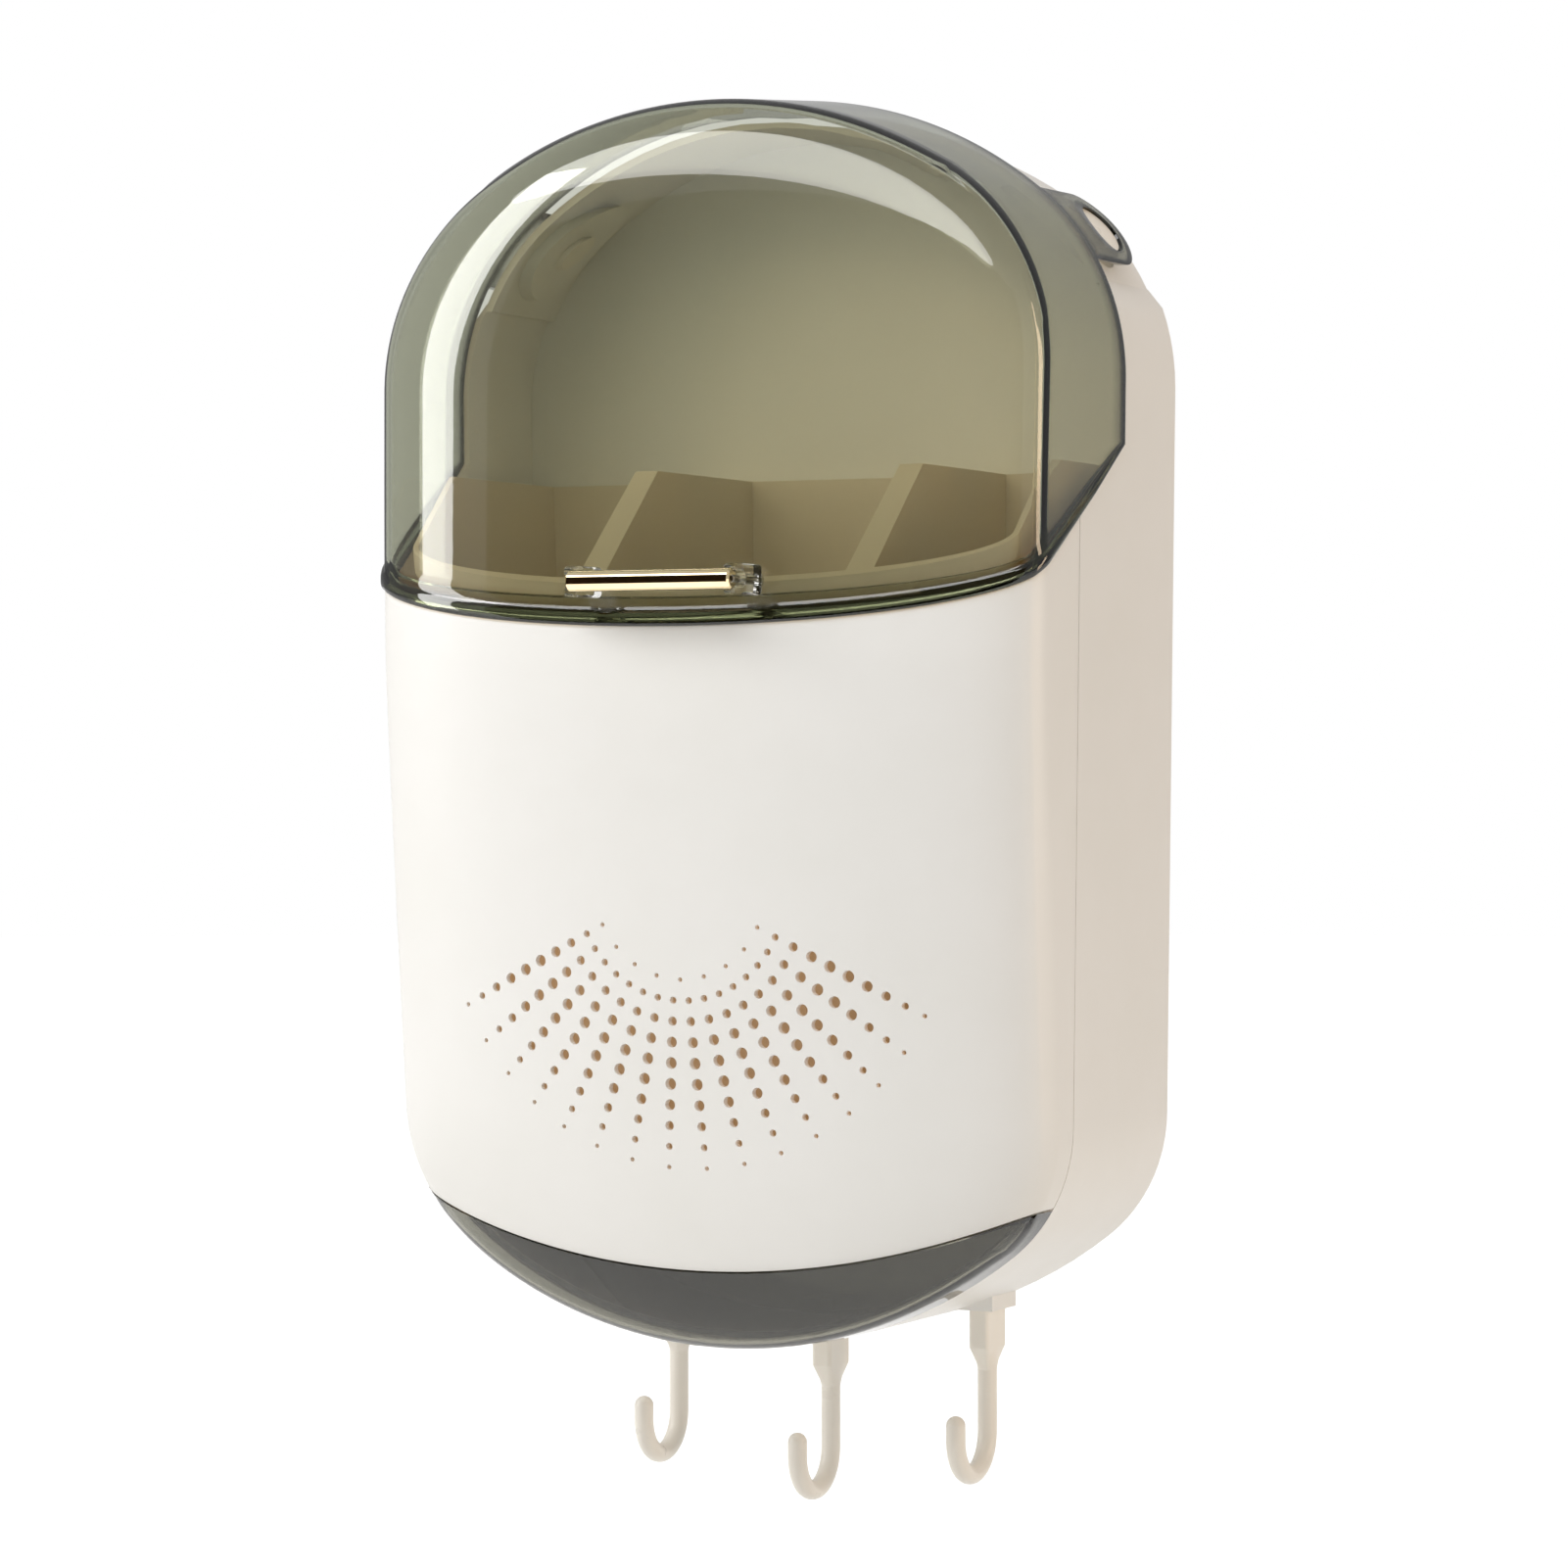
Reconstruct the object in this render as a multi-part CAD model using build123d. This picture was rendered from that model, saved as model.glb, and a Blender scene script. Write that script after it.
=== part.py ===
"""Wall-hung chopstick holder with a smoked flip lid, a lift-out liner, a drip tray and three hooks.

Frame while modelling: X to the right, Y from the front towards the wall, Z up, in millimetres.
The wall is the plane y = 0 and the housing's lowest point is z = 0.  The finished pieces are
lowered so that the origin lies on the wall, midway between the two screw holes.
"""
from build123d import *
from functools import cache
import math
import os

# --- Housing outline, seen from the front ------------------------------------------------------
EDGE_DEPTH = 88.0            # wall to the plane of the front edges
HALF_WIDTH = 101.3           # half the width of the front edge at the arch's springing
LOW_HALF_WIDTH = 99.0        # the same above the lower corners
TOP_HEIGHT = 341.6           # crown of the front edge
BASE_HEIGHT = 1.1            # underside of the front edge
SIDE_DRAFT = 0.056           # growth of the half-width towards the wall, per millimetre
ROOF_RISE = 0.11             # rise of the crown towards the wall, per millimetre
SPRING_HEIGHT = 266.0        # where the sides turn into the shoulders
SHOULDER_CENTRE = 36.3       # shoulder arc's centre, off the middle
CORNER_HEIGHT = 64.0         # where the sides turn into the lower corners
CORNER_CENTRE = 55.0         # lower corner arc's centre, off the middle

# --- Front face ----------------------------------------------------------------------------------
BULGE = 21.0                 # how far the middle stands proud of the front edges
FACE_HALF_WIDTH = 103.0      # half the width of the oval that the face follows
FACE_CROWN = 77.0            # height of the oval above the springing
FACE_CHIN = 67.5             # depth of the oval below the lower corners
CHIN_RECESS = 14.5           # how far the face falls back at the underside
CHIN_START = 190.0           # height at which the face starts to fall back
CHIN_POWER = 1.15
CHIN_CENTRE = 66.0           # height of the oval's lower centre
LEAN_BACK = 3.0              # how far the lid's face leans back at the crown
LEAN_POWER = 1.3
FACE_TAIL = 6.0              # straight run behind the oval, so that face and block overlap
BLOCK_BACK = 3.0             # the block under the face starts this far behind the edge plane
LENS_TURNS = (22, 42, 58, 72, 84)   # where the oval's ends are shaped, degrees

# --- Walls and gaps ------------------------------------------------------------------------------
COVER_WALL = 2.2
REAR_WALL = 2.2
BACK_PLATE = 2.5
LID_WALL = 2.4
TRAY_WALL = 2.2
LINER_WALL = 1.8
SPLIT_GAP = 0.5              # lid to housing, all round
TRAY_GAP = 0.5               # tray to housing
SEAM_GAP = 0.25              # front cover to rear shell
SEAT_GAP = 0.3               # a piece to the ledge or socket that carries it
SOCKET_GAP = 0.1             # hook to its socket, all round
LEDGE_GAP = 2.4              # liner's ledges to the front cover's lip
SADDLE_GAP = 0.02            # handle bar to the posts that cradle it
ROOT = 1.0                   # how far a rib or boss runs into the wall that carries it

# --- Moulded radii -------------------------------------------------------------------------------
COVER_EDGE_RADIUS = 6.0      # front cover's edge, outside
COVER_INNER_RADIUS = 3.8
LID_EDGE_RADIUS = 3.2        # lid's and tray's edge, outside
LID_INNER_RADIUS = 1.5

# --- Where the housing is divided ----------------------------------------------------------------
SEAM_DEPTH = 68.0            # wall to the seam between front cover and rear shell
SPLIT_HEIGHT = 213.0         # lid's lower edge at the front edge plane
SPLIT_SLOPE = 0.72           # rise of that edge towards the wall, per millimetre
LID_REAR_DEPTH = 40.5        # wall to the lid's upright rear edge
LID_BEAD_HEIGHT = 4.0
LID_BEAD_DEPTH = 1.4
LIP_LENGTH = 3.6             # front cover's lip inside the rear shell
LIP_WALL = 1.1
COLLAR_LENGTH = 4.0          # root of that lip inside the front cover

# --- Rear shell ----------------------------------------------------------------------------------
HOOD_HALF_WIDTH = 100.2      # rear shell's arch inside the lid
HOOD_HEIGHT = 342.3
STEP_X = 94.2                # shoulder step: inner end of its slope
STEP_HEIGHT = 293.5
STEP_FALL = 1.22             # fall of the step's slope, per millimetre outwards
SCREW_X = 50.0
SCREW_HEIGHT = 229.0
SCREW_RADIUS = 2.25
SCREW_BOSS_RADIUS = 7.0
SCREW_BOSS_PROUD = 0.8
LEDGE_TOP = 47.5             # side ledges that carry the liner
LEDGE_THICK = 3.0
LEDGE_INNER_X = 78.0

# --- Lid hinge -----------------------------------------------------------------------------------
HINGE_DEPTH = 22.7           # wall to the hinge axis
HINGE_HEIGHT = 308.5
EAR_RADIUS = 10.2
EAR_BORE = 6.3
PIN_RADIUS = 6.1
PIN_SHANK_RADIUS = 3.0
PIN_HEAD_RADIUS = 4.4
PIN_HEAD_THICK = 1.6
CUP_RADIUS = 10.8            # room for the ear to turn in
CUP_DEPTH = 3.5              # depth of that hollow under the arch's surface
CUP_WALL = 2.0

# --- Handle --------------------------------------------------------------------------------------
BAR_LENGTH = 49.0
BAR_RADIUS = 2.85
BAR_STANDOFF = 11.4          # lid face to the bar's axis
BAR_HEIGHT = 209.9
BAR_CHAMFER = 0.5
POST_WIDTH = 6.0
POST_HEIGHT = 8.3
POST_OVERHANG = 2.5          # post beyond the end of the bar
POST_EDGE_RADIUS = 1.2
POST_CRADLE = 1.2            # depth of the bar's seat in the post
HANDLE_SCREW_RADIUS = 1.2
HANDLE_SCREW_HEAD = 2.4
HANDLE_HEAD_THICK = 1.3
HANDLE_SCREW_REACH = 0.8     # screw's end beyond the bar's axis
HANDLE_BORE_CLEARANCE = 0.15

# --- Vent fan ------------------------------------------------------------------------------------
FAN_HEIGHT = 129.0           # centre of the fan's rings
FAN_INNER_RADIUS = 26.2
FAN_RING_PITCH = 5.7
FAN_RINGS = 10
FAN_SPOKES = 16
FAN_SPREAD = 126.8           # whole angle of the fan, degrees
FAN_INNER_SPOKES = 9         # the innermost ring is thinned out
HOLE_SMALL = 1.3             # hole diameter in the innermost and outermost rings
HOLE_LARGE = 3.3             # and in the middle rings
HOLE_SIDES = 6               # the punches are hexagonal pins

# --- Liner ---------------------------------------------------------------------------------------
LINER_HALF_WIDTH = 93.0
LINER_LOW_HALF_WIDTH = 85.0
LINER_TOP = 242.5
LINER_FLOOR = 47.8
LINER_BACK_GAP = 1.5         # to the back plate
LINER_FRONT = 102.0          # wall to the front of its rim
LINER_LOW_FRONT = 91.0
LINER_SIDE_FRONT = 87.0      # wall to where its sides meet the curved front
LINER_LOW_SIDE_FRONT = 74.0
LINER_SLOPE_DEPTH = 64.0     # wall to where the top starts to slope down
LINER_SLOPE = 0.92
DIVIDER_LEFT = -30.0
DIVIDER_RIGHT = 50.5
DIVIDER_TOP = 7.0
DIVIDER_BOTTOM = 13.0
DIVIDER_ROOF = 2.5           # thickness of a divider's top
SLOT_WIDTH = 4.0
SLOT_PITCH = 9.0
SLOT_LENGTH = 46.0
SLOT_DEPTH = 60.0            # wall to the slots' front ends
SLOT_MARGIN = 10.0           # liner's side to the first slot

# --- Drip tray -----------------------------------------------------------------------------------
TRAY_EDGE_HEIGHT = 22.7      # top edge at the middle
TRAY_EDGE_RADIUS = 245.0
TRAY_BACK_DEPTH = 19.5       # wall to the tray's back
TRAY_LAP = 2.0               # how far the drawer's walls run into the front
TRAY_MOUTH = 6.0             # how far the drawer's hollow runs into the front

# --- Hooks ---------------------------------------------------------------------------------------
HOOK_PITCH = 49.0
HOOK_DEPTH = 8.5
HOOK_SHOULDERS = {"hook_left": 6.9, "hook_middle": -0.7, "hook_right": 6.9}
TONGUE_WIDTH = 6.0
TONGUE_DEPTH = 13.4
TONGUE_EDGE_RADIUS = 1.2
TONGUE_DROP = 10.6
TONGUE_PLUG = 7.0            # length inside its socket
TAPER_DROP = 6.6
ROD_RADIUS = 2.75
ROD_DROP = 17.3
BEND_RADIUS = 11.0
TIP_RISE = 4.0
SOCKET_WALL = 2.4
SOCKET_ROOF = 2.0

FRONT_Y = -EDGE_DEPTH
SEAM_Y = -SEAM_DEPTH
FAR = 160.0                  # beyond the housing on every side
SKY = 500.0                  # above it


def arc(centre, radius, start, end, y):
    """Edge on a circle in the plane at y, from one angle to another, in degrees."""
    points = []
    for angle in (start, (start + end) / 2, end):
        turn = math.radians(angle)
        points.append((centre[0] + radius * math.cos(turn), y, centre[1] + radius * math.sin(turn)))
    return ThreePointArc(*points)


def outline(y, half_width, low_half_width, top, base):
    """Closed arch: crown, two shoulders, straight sides, two corners and a shallow underside."""
    shoulder = half_width - SHOULDER_CENTRE
    rise = top - SPRING_HEIGHT - shoulder
    crown_drop = (SHOULDER_CENTRE ** 2 - rise ** 2) / (2 * rise)
    crown = top - SPRING_HEIGHT + crown_drop
    crown_angle = math.degrees(math.atan2(crown_drop, SHOULDER_CENTRE))
    corner = low_half_width - CORNER_CENTRE
    fall = CORNER_HEIGHT - base - corner
    belly_rise = (CORNER_CENTRE ** 2 - fall ** 2) / (2 * fall)
    belly = CORNER_HEIGHT - base + belly_rise
    belly_angle = math.degrees(math.atan2(belly_rise, CORNER_CENTRE))
    edges = [
        arc((0, SPRING_HEIGHT - crown_drop), crown, crown_angle, 180 - crown_angle, y),
        arc((-SHOULDER_CENTRE, SPRING_HEIGHT), shoulder, 180 - crown_angle, 180, y),
        Line((-half_width, y, SPRING_HEIGHT), (-low_half_width, y, CORNER_HEIGHT)),
        arc((-CORNER_CENTRE, CORNER_HEIGHT), corner, 180, 180 + belly_angle, y),
        arc((0, CORNER_HEIGHT + belly_rise), belly, 180 + belly_angle, 360 - belly_angle, y),
        arc((CORNER_CENTRE, CORNER_HEIGHT), corner, 360 - belly_angle, 360, y),
        Line((low_half_width, y, CORNER_HEIGHT), (half_width, y, SPRING_HEIGHT)),
        arc((SHOULDER_CENTRE, SPRING_HEIGHT), shoulder, 0, crown_angle, y),
    ]
    return Face(Wire(edges))


def drafted_outline(y, inset):
    """Outline of the drafted front half at a distance y from the wall."""
    depth = y - FRONT_Y
    return outline(
        y,
        HALF_WIDTH + SIDE_DRAFT * depth - inset,
        LOW_HALF_WIDTH + SIDE_DRAFT * depth - inset,
        TOP_HEIGHT + ROOF_RISE * depth - inset,
        BASE_HEIGHT - SIDE_DRAFT * depth + inset,
    )


def rear_outline(y, inset):
    """Outline of the rear shell, which runs straight back from the seam."""
    depth = SEAM_Y - FRONT_Y
    return outline(
        y,
        HALF_WIDTH + SIDE_DRAFT * depth - inset,
        LOW_HALF_WIDTH + SIDE_DRAFT * depth - inset,
        TOP_HEIGHT + ROOF_RISE * depth - inset,
        BASE_HEIGHT - SIDE_DRAFT * depth + inset,
    )


def hood_outline(y, inset):
    """Outline of the rear shell's arch, which passes inside the lid."""
    low = LOW_HALF_WIDTH + SIDE_DRAFT * (SEAM_Y - FRONT_Y) - HALF_WIDTH + HOOD_HALF_WIDTH - 1.2
    return outline(y, HOOD_HALF_WIDTH - inset, low - inset, HOOD_HEIGHT - inset, 2.0 + inset)


def face_setback(height):
    """How far the front edge plane lies behind EDGE_DEPTH at a height."""
    if height < CHIN_START:
        return CHIN_RECESS * (1 - height / CHIN_START) ** CHIN_POWER
    if height > SPLIT_HEIGHT:
        return LEAN_BACK * ((height - SPLIT_HEIGHT) / (TOP_HEIGHT - SPLIT_HEIGHT)) ** LEAN_POWER
    return 0.0


def face_section(height, squeeze, inset):
    """Half oval with a straight tail: one level of the bulged front."""
    half = (FACE_HALF_WIDTH - inset) * squeeze
    proud = (BULGE - inset) * squeeze
    edge_y = FRONT_Y + face_setback(min(max(height, 0.0), TOP_HEIGHT))
    tail_y = edge_y + FACE_TAIL
    oval = EllipticalCenterArc((0, 0), half, proud, start_angle=180, arc_size=180)
    oval = Pos(0, edge_y, height) * oval
    edges = [
        oval,
        Line((half, edge_y, height), (half, tail_y, height)),
        Line((half, tail_y, height), (-half, tail_y, height)),
        Line((-half, tail_y, height), (-half, edge_y, height)),
    ]
    return Face(Wire(edges))


def spaced(first, last, count):
    """Evenly spaced values, both ends included."""
    return [first + (last - first) * i / (count - 1) for i in range(count)]


def front_bulge(inset):
    """Everything behind the bulged front face: an oval lens on a block."""
    chin = FACE_CHIN - inset
    crown = FACE_CROWN - inset
    turns = [math.radians(angle) for angle in LENS_TURNS]
    sections = []
    for turn in reversed(turns):
        height = CHIN_CENTRE - chin * math.sin(turn)
        sections.append(face_section(height, math.cos(turn), inset))
    for height in spaced(CHIN_CENTRE, SPRING_HEIGHT, 8):
        sections.append(face_section(height, 1.0, inset))
    for turn in turns:
        height = SPRING_HEIGHT + crown * math.sin(turn)
        sections.append(face_section(height, math.cos(turn), inset))
    lens = loft(sections)
    profile = []
    for height in spaced(0, TOP_HEIGHT, 8):
        profile.append((0, FRONT_Y + face_setback(height) + BLOCK_BACK, height))
    first = (0, profile[0][1], -FAR)
    last = (0, profile[-1][1], TOP_HEIGHT + FAR)
    rear_top = (0, FAR, TOP_HEIGHT + FAR)
    rear_low = (0, FAR, -FAR)
    edges = [
        Line(first, profile[0]),
        Spline(*profile),
        Line(profile[-1], last),
        Line(last, rear_top),
        Line(rear_top, rear_low),
        Line(rear_low, first),
    ]
    block = extrude(Face(Wire(edges)), FAR, dir=(1, 0, 0), both=True)
    return lens + block


@cache
def envelope(inset, edge_radius):
    """Solid inside the drafted front half, inset from its outer surface, its front edge rounded."""
    nearest = drafted_outline(FRONT_Y - 1.5 * BULGE, inset)
    farthest = drafted_outline(-1.0, inset)
    solid = loft([nearest, farthest], ruled=True) & front_bulge(inset)
    edges = [edge for edge in solid.edges() if edge.bounding_box().max.Y < SEAM_Y]
    return fillet(edges, edge_radius)


def slab(corner, opposite):
    """Block between two opposite corners."""
    low = [min(a, b) for a, b in zip(corner, opposite)]
    high = [max(a, b) for a, b in zip(corner, opposite)]
    size = [b - a for a, b in zip(low, high)]
    middle = [(a + b) / 2 for a, b in zip(low, high)]
    return Pos(*middle) * Box(*size)


def side_profile(points):
    """Prism right across the housing from points given as (depth from the wall, height)."""
    loop = [(0, -depth, height) for depth, height in points]
    edges = [Line(a, b) for a, b in zip(loop, loop[1:] + loop[:1])]
    return extrude(Face(Wire(edges)), FAR, dir=(1, 0, 0), both=True)


def split_height(depth):
    """Height of the split between lid and housing at a distance from the wall."""
    return SPLIT_HEIGHT + SPLIT_SLOPE * (EDGE_DEPTH - depth)


def above_split(raise_by):
    """Everything over the sloping split."""
    behind = split_height(-FAR) + raise_by
    ahead = split_height(FAR) + raise_by
    return side_profile([(-FAR, behind), (FAR, ahead), (FAR, SKY), (-FAR, SKY)])


def ahead_of(depth):
    """Everything further from the wall than a depth."""
    return slab((-FAR, -FAR, -FAR), (FAR, -depth, SKY))


def below_tray_edge(raise_by):
    """Everything under the tray's curved upper edge, straight back to the wall."""
    centre = TRAY_EDGE_HEIGHT + raise_by + TRAY_EDGE_RADIUS
    under = slab((-FAR, -FAR, -FAR), (FAR, FAR, centre))
    return under - along_y(TRAY_EDGE_RADIUS, 0, centre, -2 * FAR, 2 * FAR)


def along_x(radius, start, end):
    """Round bar along X at the hinge axis."""
    bar = Rot(0, 90, 0) * Cylinder(radius, end - start)
    return Pos((start + end) / 2, -HINGE_DEPTH, HINGE_HEIGHT) * bar


def along_y(radius, x, height, start, end):
    """Round bar along Y."""
    bar = Rot(90, 0, 0) * Cylinder(radius, end - start)
    return Pos(x, (start + end) / 2, height) * bar


def mirrored(shape):
    """The same shape on the other side."""
    return mirror(shape, about=Plane.YZ)


# --- Fixed housing -------------------------------------------------------------------------------
def rear_body(inset, front_y, back_y):
    """Solid of the rear shell's form: full width up to the shoulder step, and the arch."""
    wide = extrude(rear_outline(back_y, inset), back_y - front_y, dir=(0, -1, 0))
    hood = extrude(hood_outline(back_y, inset), back_y - front_y, dir=(0, -1, 0))
    step_low = STEP_HEIGHT - STEP_FALL * (FAR - STEP_X) - inset
    step = [
        (-FAR, back_y, step_low),
        (-STEP_X, back_y, STEP_HEIGHT - inset),
        (STEP_X, back_y, STEP_HEIGHT - inset),
        (FAR, back_y, step_low),
        (FAR, back_y, -FAR),
        (-FAR, back_y, -FAR),
    ]
    edges = [Line(a, b) for a, b in zip(step, step[1:] + step[:1])]
    below_step = extrude(Face(Wire(edges)), back_y - front_y, dir=(0, -1, 0))
    return (wide & below_step) + hood


def lid_room():
    """Space that the lid takes up in front of its upright rear edge."""
    rear = LID_REAR_DEPTH - SPLIT_GAP
    return side_profile([
        (rear, split_height(rear)),
        (FAR, split_height(FAR)),
        (FAR, SKY),
        (rear, SKY),
    ])


def hood_block(inset):
    """Solid inside the arch's surface, at a depth under it."""
    return extrude(hood_outline(0, inset), FAR, dir=(0, -1, 0))


def hinge_dish():
    """Round patch of the arch that is pushed in for the ear, and the hollow in front of it."""
    patch = along_x(CUP_RADIUS + CUP_WALL, 0, FAR) & hood_block(ROOT)
    hollow = along_x(CUP_RADIUS, 0, FAR) - hood_block(CUP_DEPTH)
    return patch - hood_block(CUP_DEPTH + CUP_WALL), hollow


def hook_socket(x, shoulder):
    """Square socket that reaches through the shell's floor, and its bore."""
    half_x = TONGUE_WIDTH / 2 + SOCKET_GAP
    half_y = TONGUE_DEPTH / 2 + SOCKET_GAP
    roof = shoulder + SEAT_GAP + TONGUE_PLUG
    block = slab(
        (x - half_x - SOCKET_WALL, -HOOK_DEPTH - half_y - SOCKET_WALL, shoulder + SEAT_GAP),
        (x + half_x + SOCKET_WALL, -ROOT, roof + SOCKET_ROOF),
    )
    bore = slab(
        (x - half_x, -HOOK_DEPTH - half_y, shoulder - TONGUE_DROP),
        (x + half_x, -HOOK_DEPTH + half_y, roof),
    )
    return block, bore


def rear_shell():
    """Back plate, side walls, arch, hinge cups, screw bosses, ledges and hook sockets."""
    shell = rear_body(0, SEAM_Y, 0) - rear_body(REAR_WALL, SEAM_Y - 5, -BACK_PLATE)
    shell = shell - lid_room()
    patch, hollow = hinge_dish()
    bore = along_x(PIN_SHANK_RADIUS, -FAR, FAR)
    shell = shell + patch + mirrored(patch)
    shell = shell - hollow - mirrored(hollow) - bore
    boss_front = -BACK_PLATE - SCREW_BOSS_PROUD
    for x in (-SCREW_X, SCREW_X):
        shell = shell + along_y(SCREW_BOSS_RADIUS, x, SCREW_HEIGHT, boss_front, -ROOT)
        shell = shell - along_y(SCREW_RADIUS, x, SCREW_HEIGHT, -SEAM_DEPTH, BACK_PLATE)
    ledge_front = SEAM_Y + LIP_LENGTH + LEDGE_GAP
    for side in (-1, 1):
        ledge = slab(
            (side * LEDGE_INNER_X, -ROOT, LEDGE_TOP - LEDGE_THICK),
            (side * FAR, ledge_front, LEDGE_TOP),
        )
        shell = shell + (ledge & rear_body(ROOT, SEAM_Y, 0))
    for place, shoulder in enumerate(HOOK_SHOULDERS.values()):
        block, bore = hook_socket(HOOK_PITCH * (place - 1), shoulder)
        shell = shell + block - bore
    return shell


def vent_holes():
    """Fan of holes: rings of spokes whose holes swell towards the middle rings."""
    holes = []
    start = SEAM_Y + LIP_LENGTH
    for ring in range(FAN_RINGS):
        radius = FAN_INNER_RADIUS + FAN_RING_PITCH * ring
        spokes = FAN_INNER_SPOKES if ring == 0 else FAN_SPOKES
        swell = math.sin(math.pi * ring / (FAN_RINGS - 1))
        hole_radius = (HOLE_SMALL + (HOLE_LARGE - HOLE_SMALL) * swell) / 2
        pin = Rot(90, 0, 0) * extrude(RegularPolygon(hole_radius, HOLE_SIDES), FAR / 2)
        for spoke in range(spokes):
            turn = math.radians(FAN_SPREAD * (spoke / (spokes - 1) - 0.5))
            x = radius * math.sin(turn)
            height = FAN_HEIGHT - radius * math.cos(turn)
            holes.append(Pos(x, start, height) * pin)
    return holes


def front_cover():
    """Bulged front with the vent fan, and a lip that laps inside the rear shell."""
    front = envelope(0, COVER_EDGE_RADIUS) & ahead_of(SEAM_DEPTH + SEAM_GAP)
    shell = front - envelope(COVER_WALL, COVER_INNER_RADIUS)
    lip_y = SEAM_Y - COLLAR_LENGTH
    lip_inset = REAR_WALL + SEAT_GAP
    collar = extrude(rear_outline(lip_y, ROOT), COLLAR_LENGTH - SEAM_GAP, dir=(0, 1, 0))
    lip = extrude(rear_outline(lip_y, lip_inset), COLLAR_LENGTH + LIP_LENGTH, dir=(0, 1, 0))
    hollow = extrude(rear_outline(lip_y - ROOT, lip_inset + LIP_WALL), FAR, dir=(0, 1, 0))
    shell = shell + (collar + lip - hollow)
    shell = shell - above_split(0) - below_tray_edge(TRAY_GAP)
    return shell - vent_holes()


def hinge_pin():
    """Snap-in peg: flat head inside, shank through the dish, barrel in the lid's ear."""
    inside = hood_block(CUP_DEPTH + CUP_WALL)
    beyond = hood_block(CUP_DEPTH + CUP_WALL + PIN_HEAD_THICK)
    head = (along_x(PIN_HEAD_RADIUS, 0, FAR) & inside) - beyond
    shank = (along_x(PIN_SHANK_RADIUS, 0, FAR) & hood_block(CUP_DEPTH - ROOT)) - beyond
    barrel = along_x(PIN_RADIUS, 0, FAR) - hood_block(CUP_DEPTH)
    return head + shank + (barrel & envelope(SPLIT_GAP, LID_EDGE_RADIUS))


# --- Lid ------------------------------------------------------------------------------------------
def handle_screw_places():
    """X positions of the two handle screws."""
    reach = BAR_LENGTH / 2 + POST_OVERHANG - POST_WIDTH / 2
    return (-reach, reach)


def lid_face_y(x):
    """Front of the lid at the handle's height."""
    squeeze = math.sqrt(1 - (x / FACE_HALF_WIDTH) ** 2)
    return FRONT_Y + face_setback(BAR_HEIGHT) - BULGE * squeeze


def flip_lid():
    """Smoked hood: bulged front, arched wall, beaded lower edge and two hinge ears."""
    skin = envelope(0, LID_EDGE_RADIUS) - envelope(LID_WALL, LID_INNER_RADIUS)
    bead_zone = above_split(0) - above_split(LID_BEAD_HEIGHT)
    bead_core = envelope(LID_WALL + LID_BEAD_DEPTH, LID_INNER_RADIUS)
    bead = (envelope(LID_WALL / 2, LID_EDGE_RADIUS) - bead_core) & bead_zone
    lid = (skin + bead) & ahead_of(LID_REAR_DEPTH) & above_split(SPLIT_GAP)
    tab = slab(
        (-FAR, -LID_REAR_DEPTH - ROOT, HINGE_HEIGHT - EAR_RADIUS),
        (FAR, -HINGE_DEPTH, HINGE_HEIGHT + EAR_RADIUS),
    )
    ear = skin & (tab + along_x(EAR_RADIUS, -FAR, FAR))
    lid = lid + ear
    lid = lid - along_x(EAR_BORE, -FAR, FAR)
    face_y = lid_face_y(0)
    for x in handle_screw_places():
        hole = HANDLE_SCREW_RADIUS + HANDLE_BORE_CLEARANCE
        lid = lid - along_y(hole, x, BAR_HEIGHT, face_y - BAR_STANDOFF, face_y + BAR_STANDOFF)
    return lid


def handle_bar():
    """Polished round bar with softened ends and two blind screw holes."""
    axis_y = lid_face_y(0) - BAR_STANDOFF
    bar = Rot(0, 90, 0) * Cylinder(BAR_RADIUS, BAR_LENGTH)
    bar = chamfer(bar.edges().filter_by(GeomType.CIRCLE), BAR_CHAMFER)
    bar = Pos(0, axis_y, BAR_HEIGHT) * bar
    end = axis_y - HANDLE_SCREW_REACH
    for x in handle_screw_places():
        bar = bar - along_y(HANDLE_SCREW_RADIUS, x, BAR_HEIGHT, end, axis_y + 2 * BAR_RADIUS)
    return bar


def handle_post(side):
    """Clear post between the lid's face and one end of the bar."""
    x = handle_screw_places()[0 if side < 0 else 1]
    axis_y = lid_face_y(0) - BAR_STANDOFF
    post = slab(
        (x - POST_WIDTH / 2, axis_y + BAR_RADIUS - POST_CRADLE, BAR_HEIGHT - POST_HEIGHT / 2),
        (x + POST_WIDTH / 2, lid_face_y(0) + BULGE / 2, BAR_HEIGHT + POST_HEIGHT / 2),
    )
    post = fillet(post.edges().filter_by(Axis.Y), POST_EDGE_RADIUS)
    saddle = Rot(0, 90, 0) * Cylinder(BAR_RADIUS + SADDLE_GAP, FAR)
    hole = HANDLE_SCREW_RADIUS + HANDLE_BORE_CLEARANCE
    post = post - Pos(0, axis_y, BAR_HEIGHT) * saddle
    post = post - along_y(hole, x, BAR_HEIGHT, axis_y, 0)
    return post - envelope(0, LID_EDGE_RADIUS)


def handle_screws():
    """Two pan-head screws from inside the lid into the bar."""
    end = lid_face_y(0) - BAR_STANDOFF - HANDLE_SCREW_REACH
    screws = []
    for x in handle_screw_places():
        seat = lid_face_y(x) + LID_WALL + SEAT_GAP
        rear = seat + HANDLE_HEAD_THICK
        shank = along_y(HANDLE_SCREW_RADIUS, x, BAR_HEIGHT, end, rear)
        screws.append(shank + along_y(HANDLE_SCREW_HEAD, x, BAR_HEIGHT, seat, rear))
    return Compound(children=screws)


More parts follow.
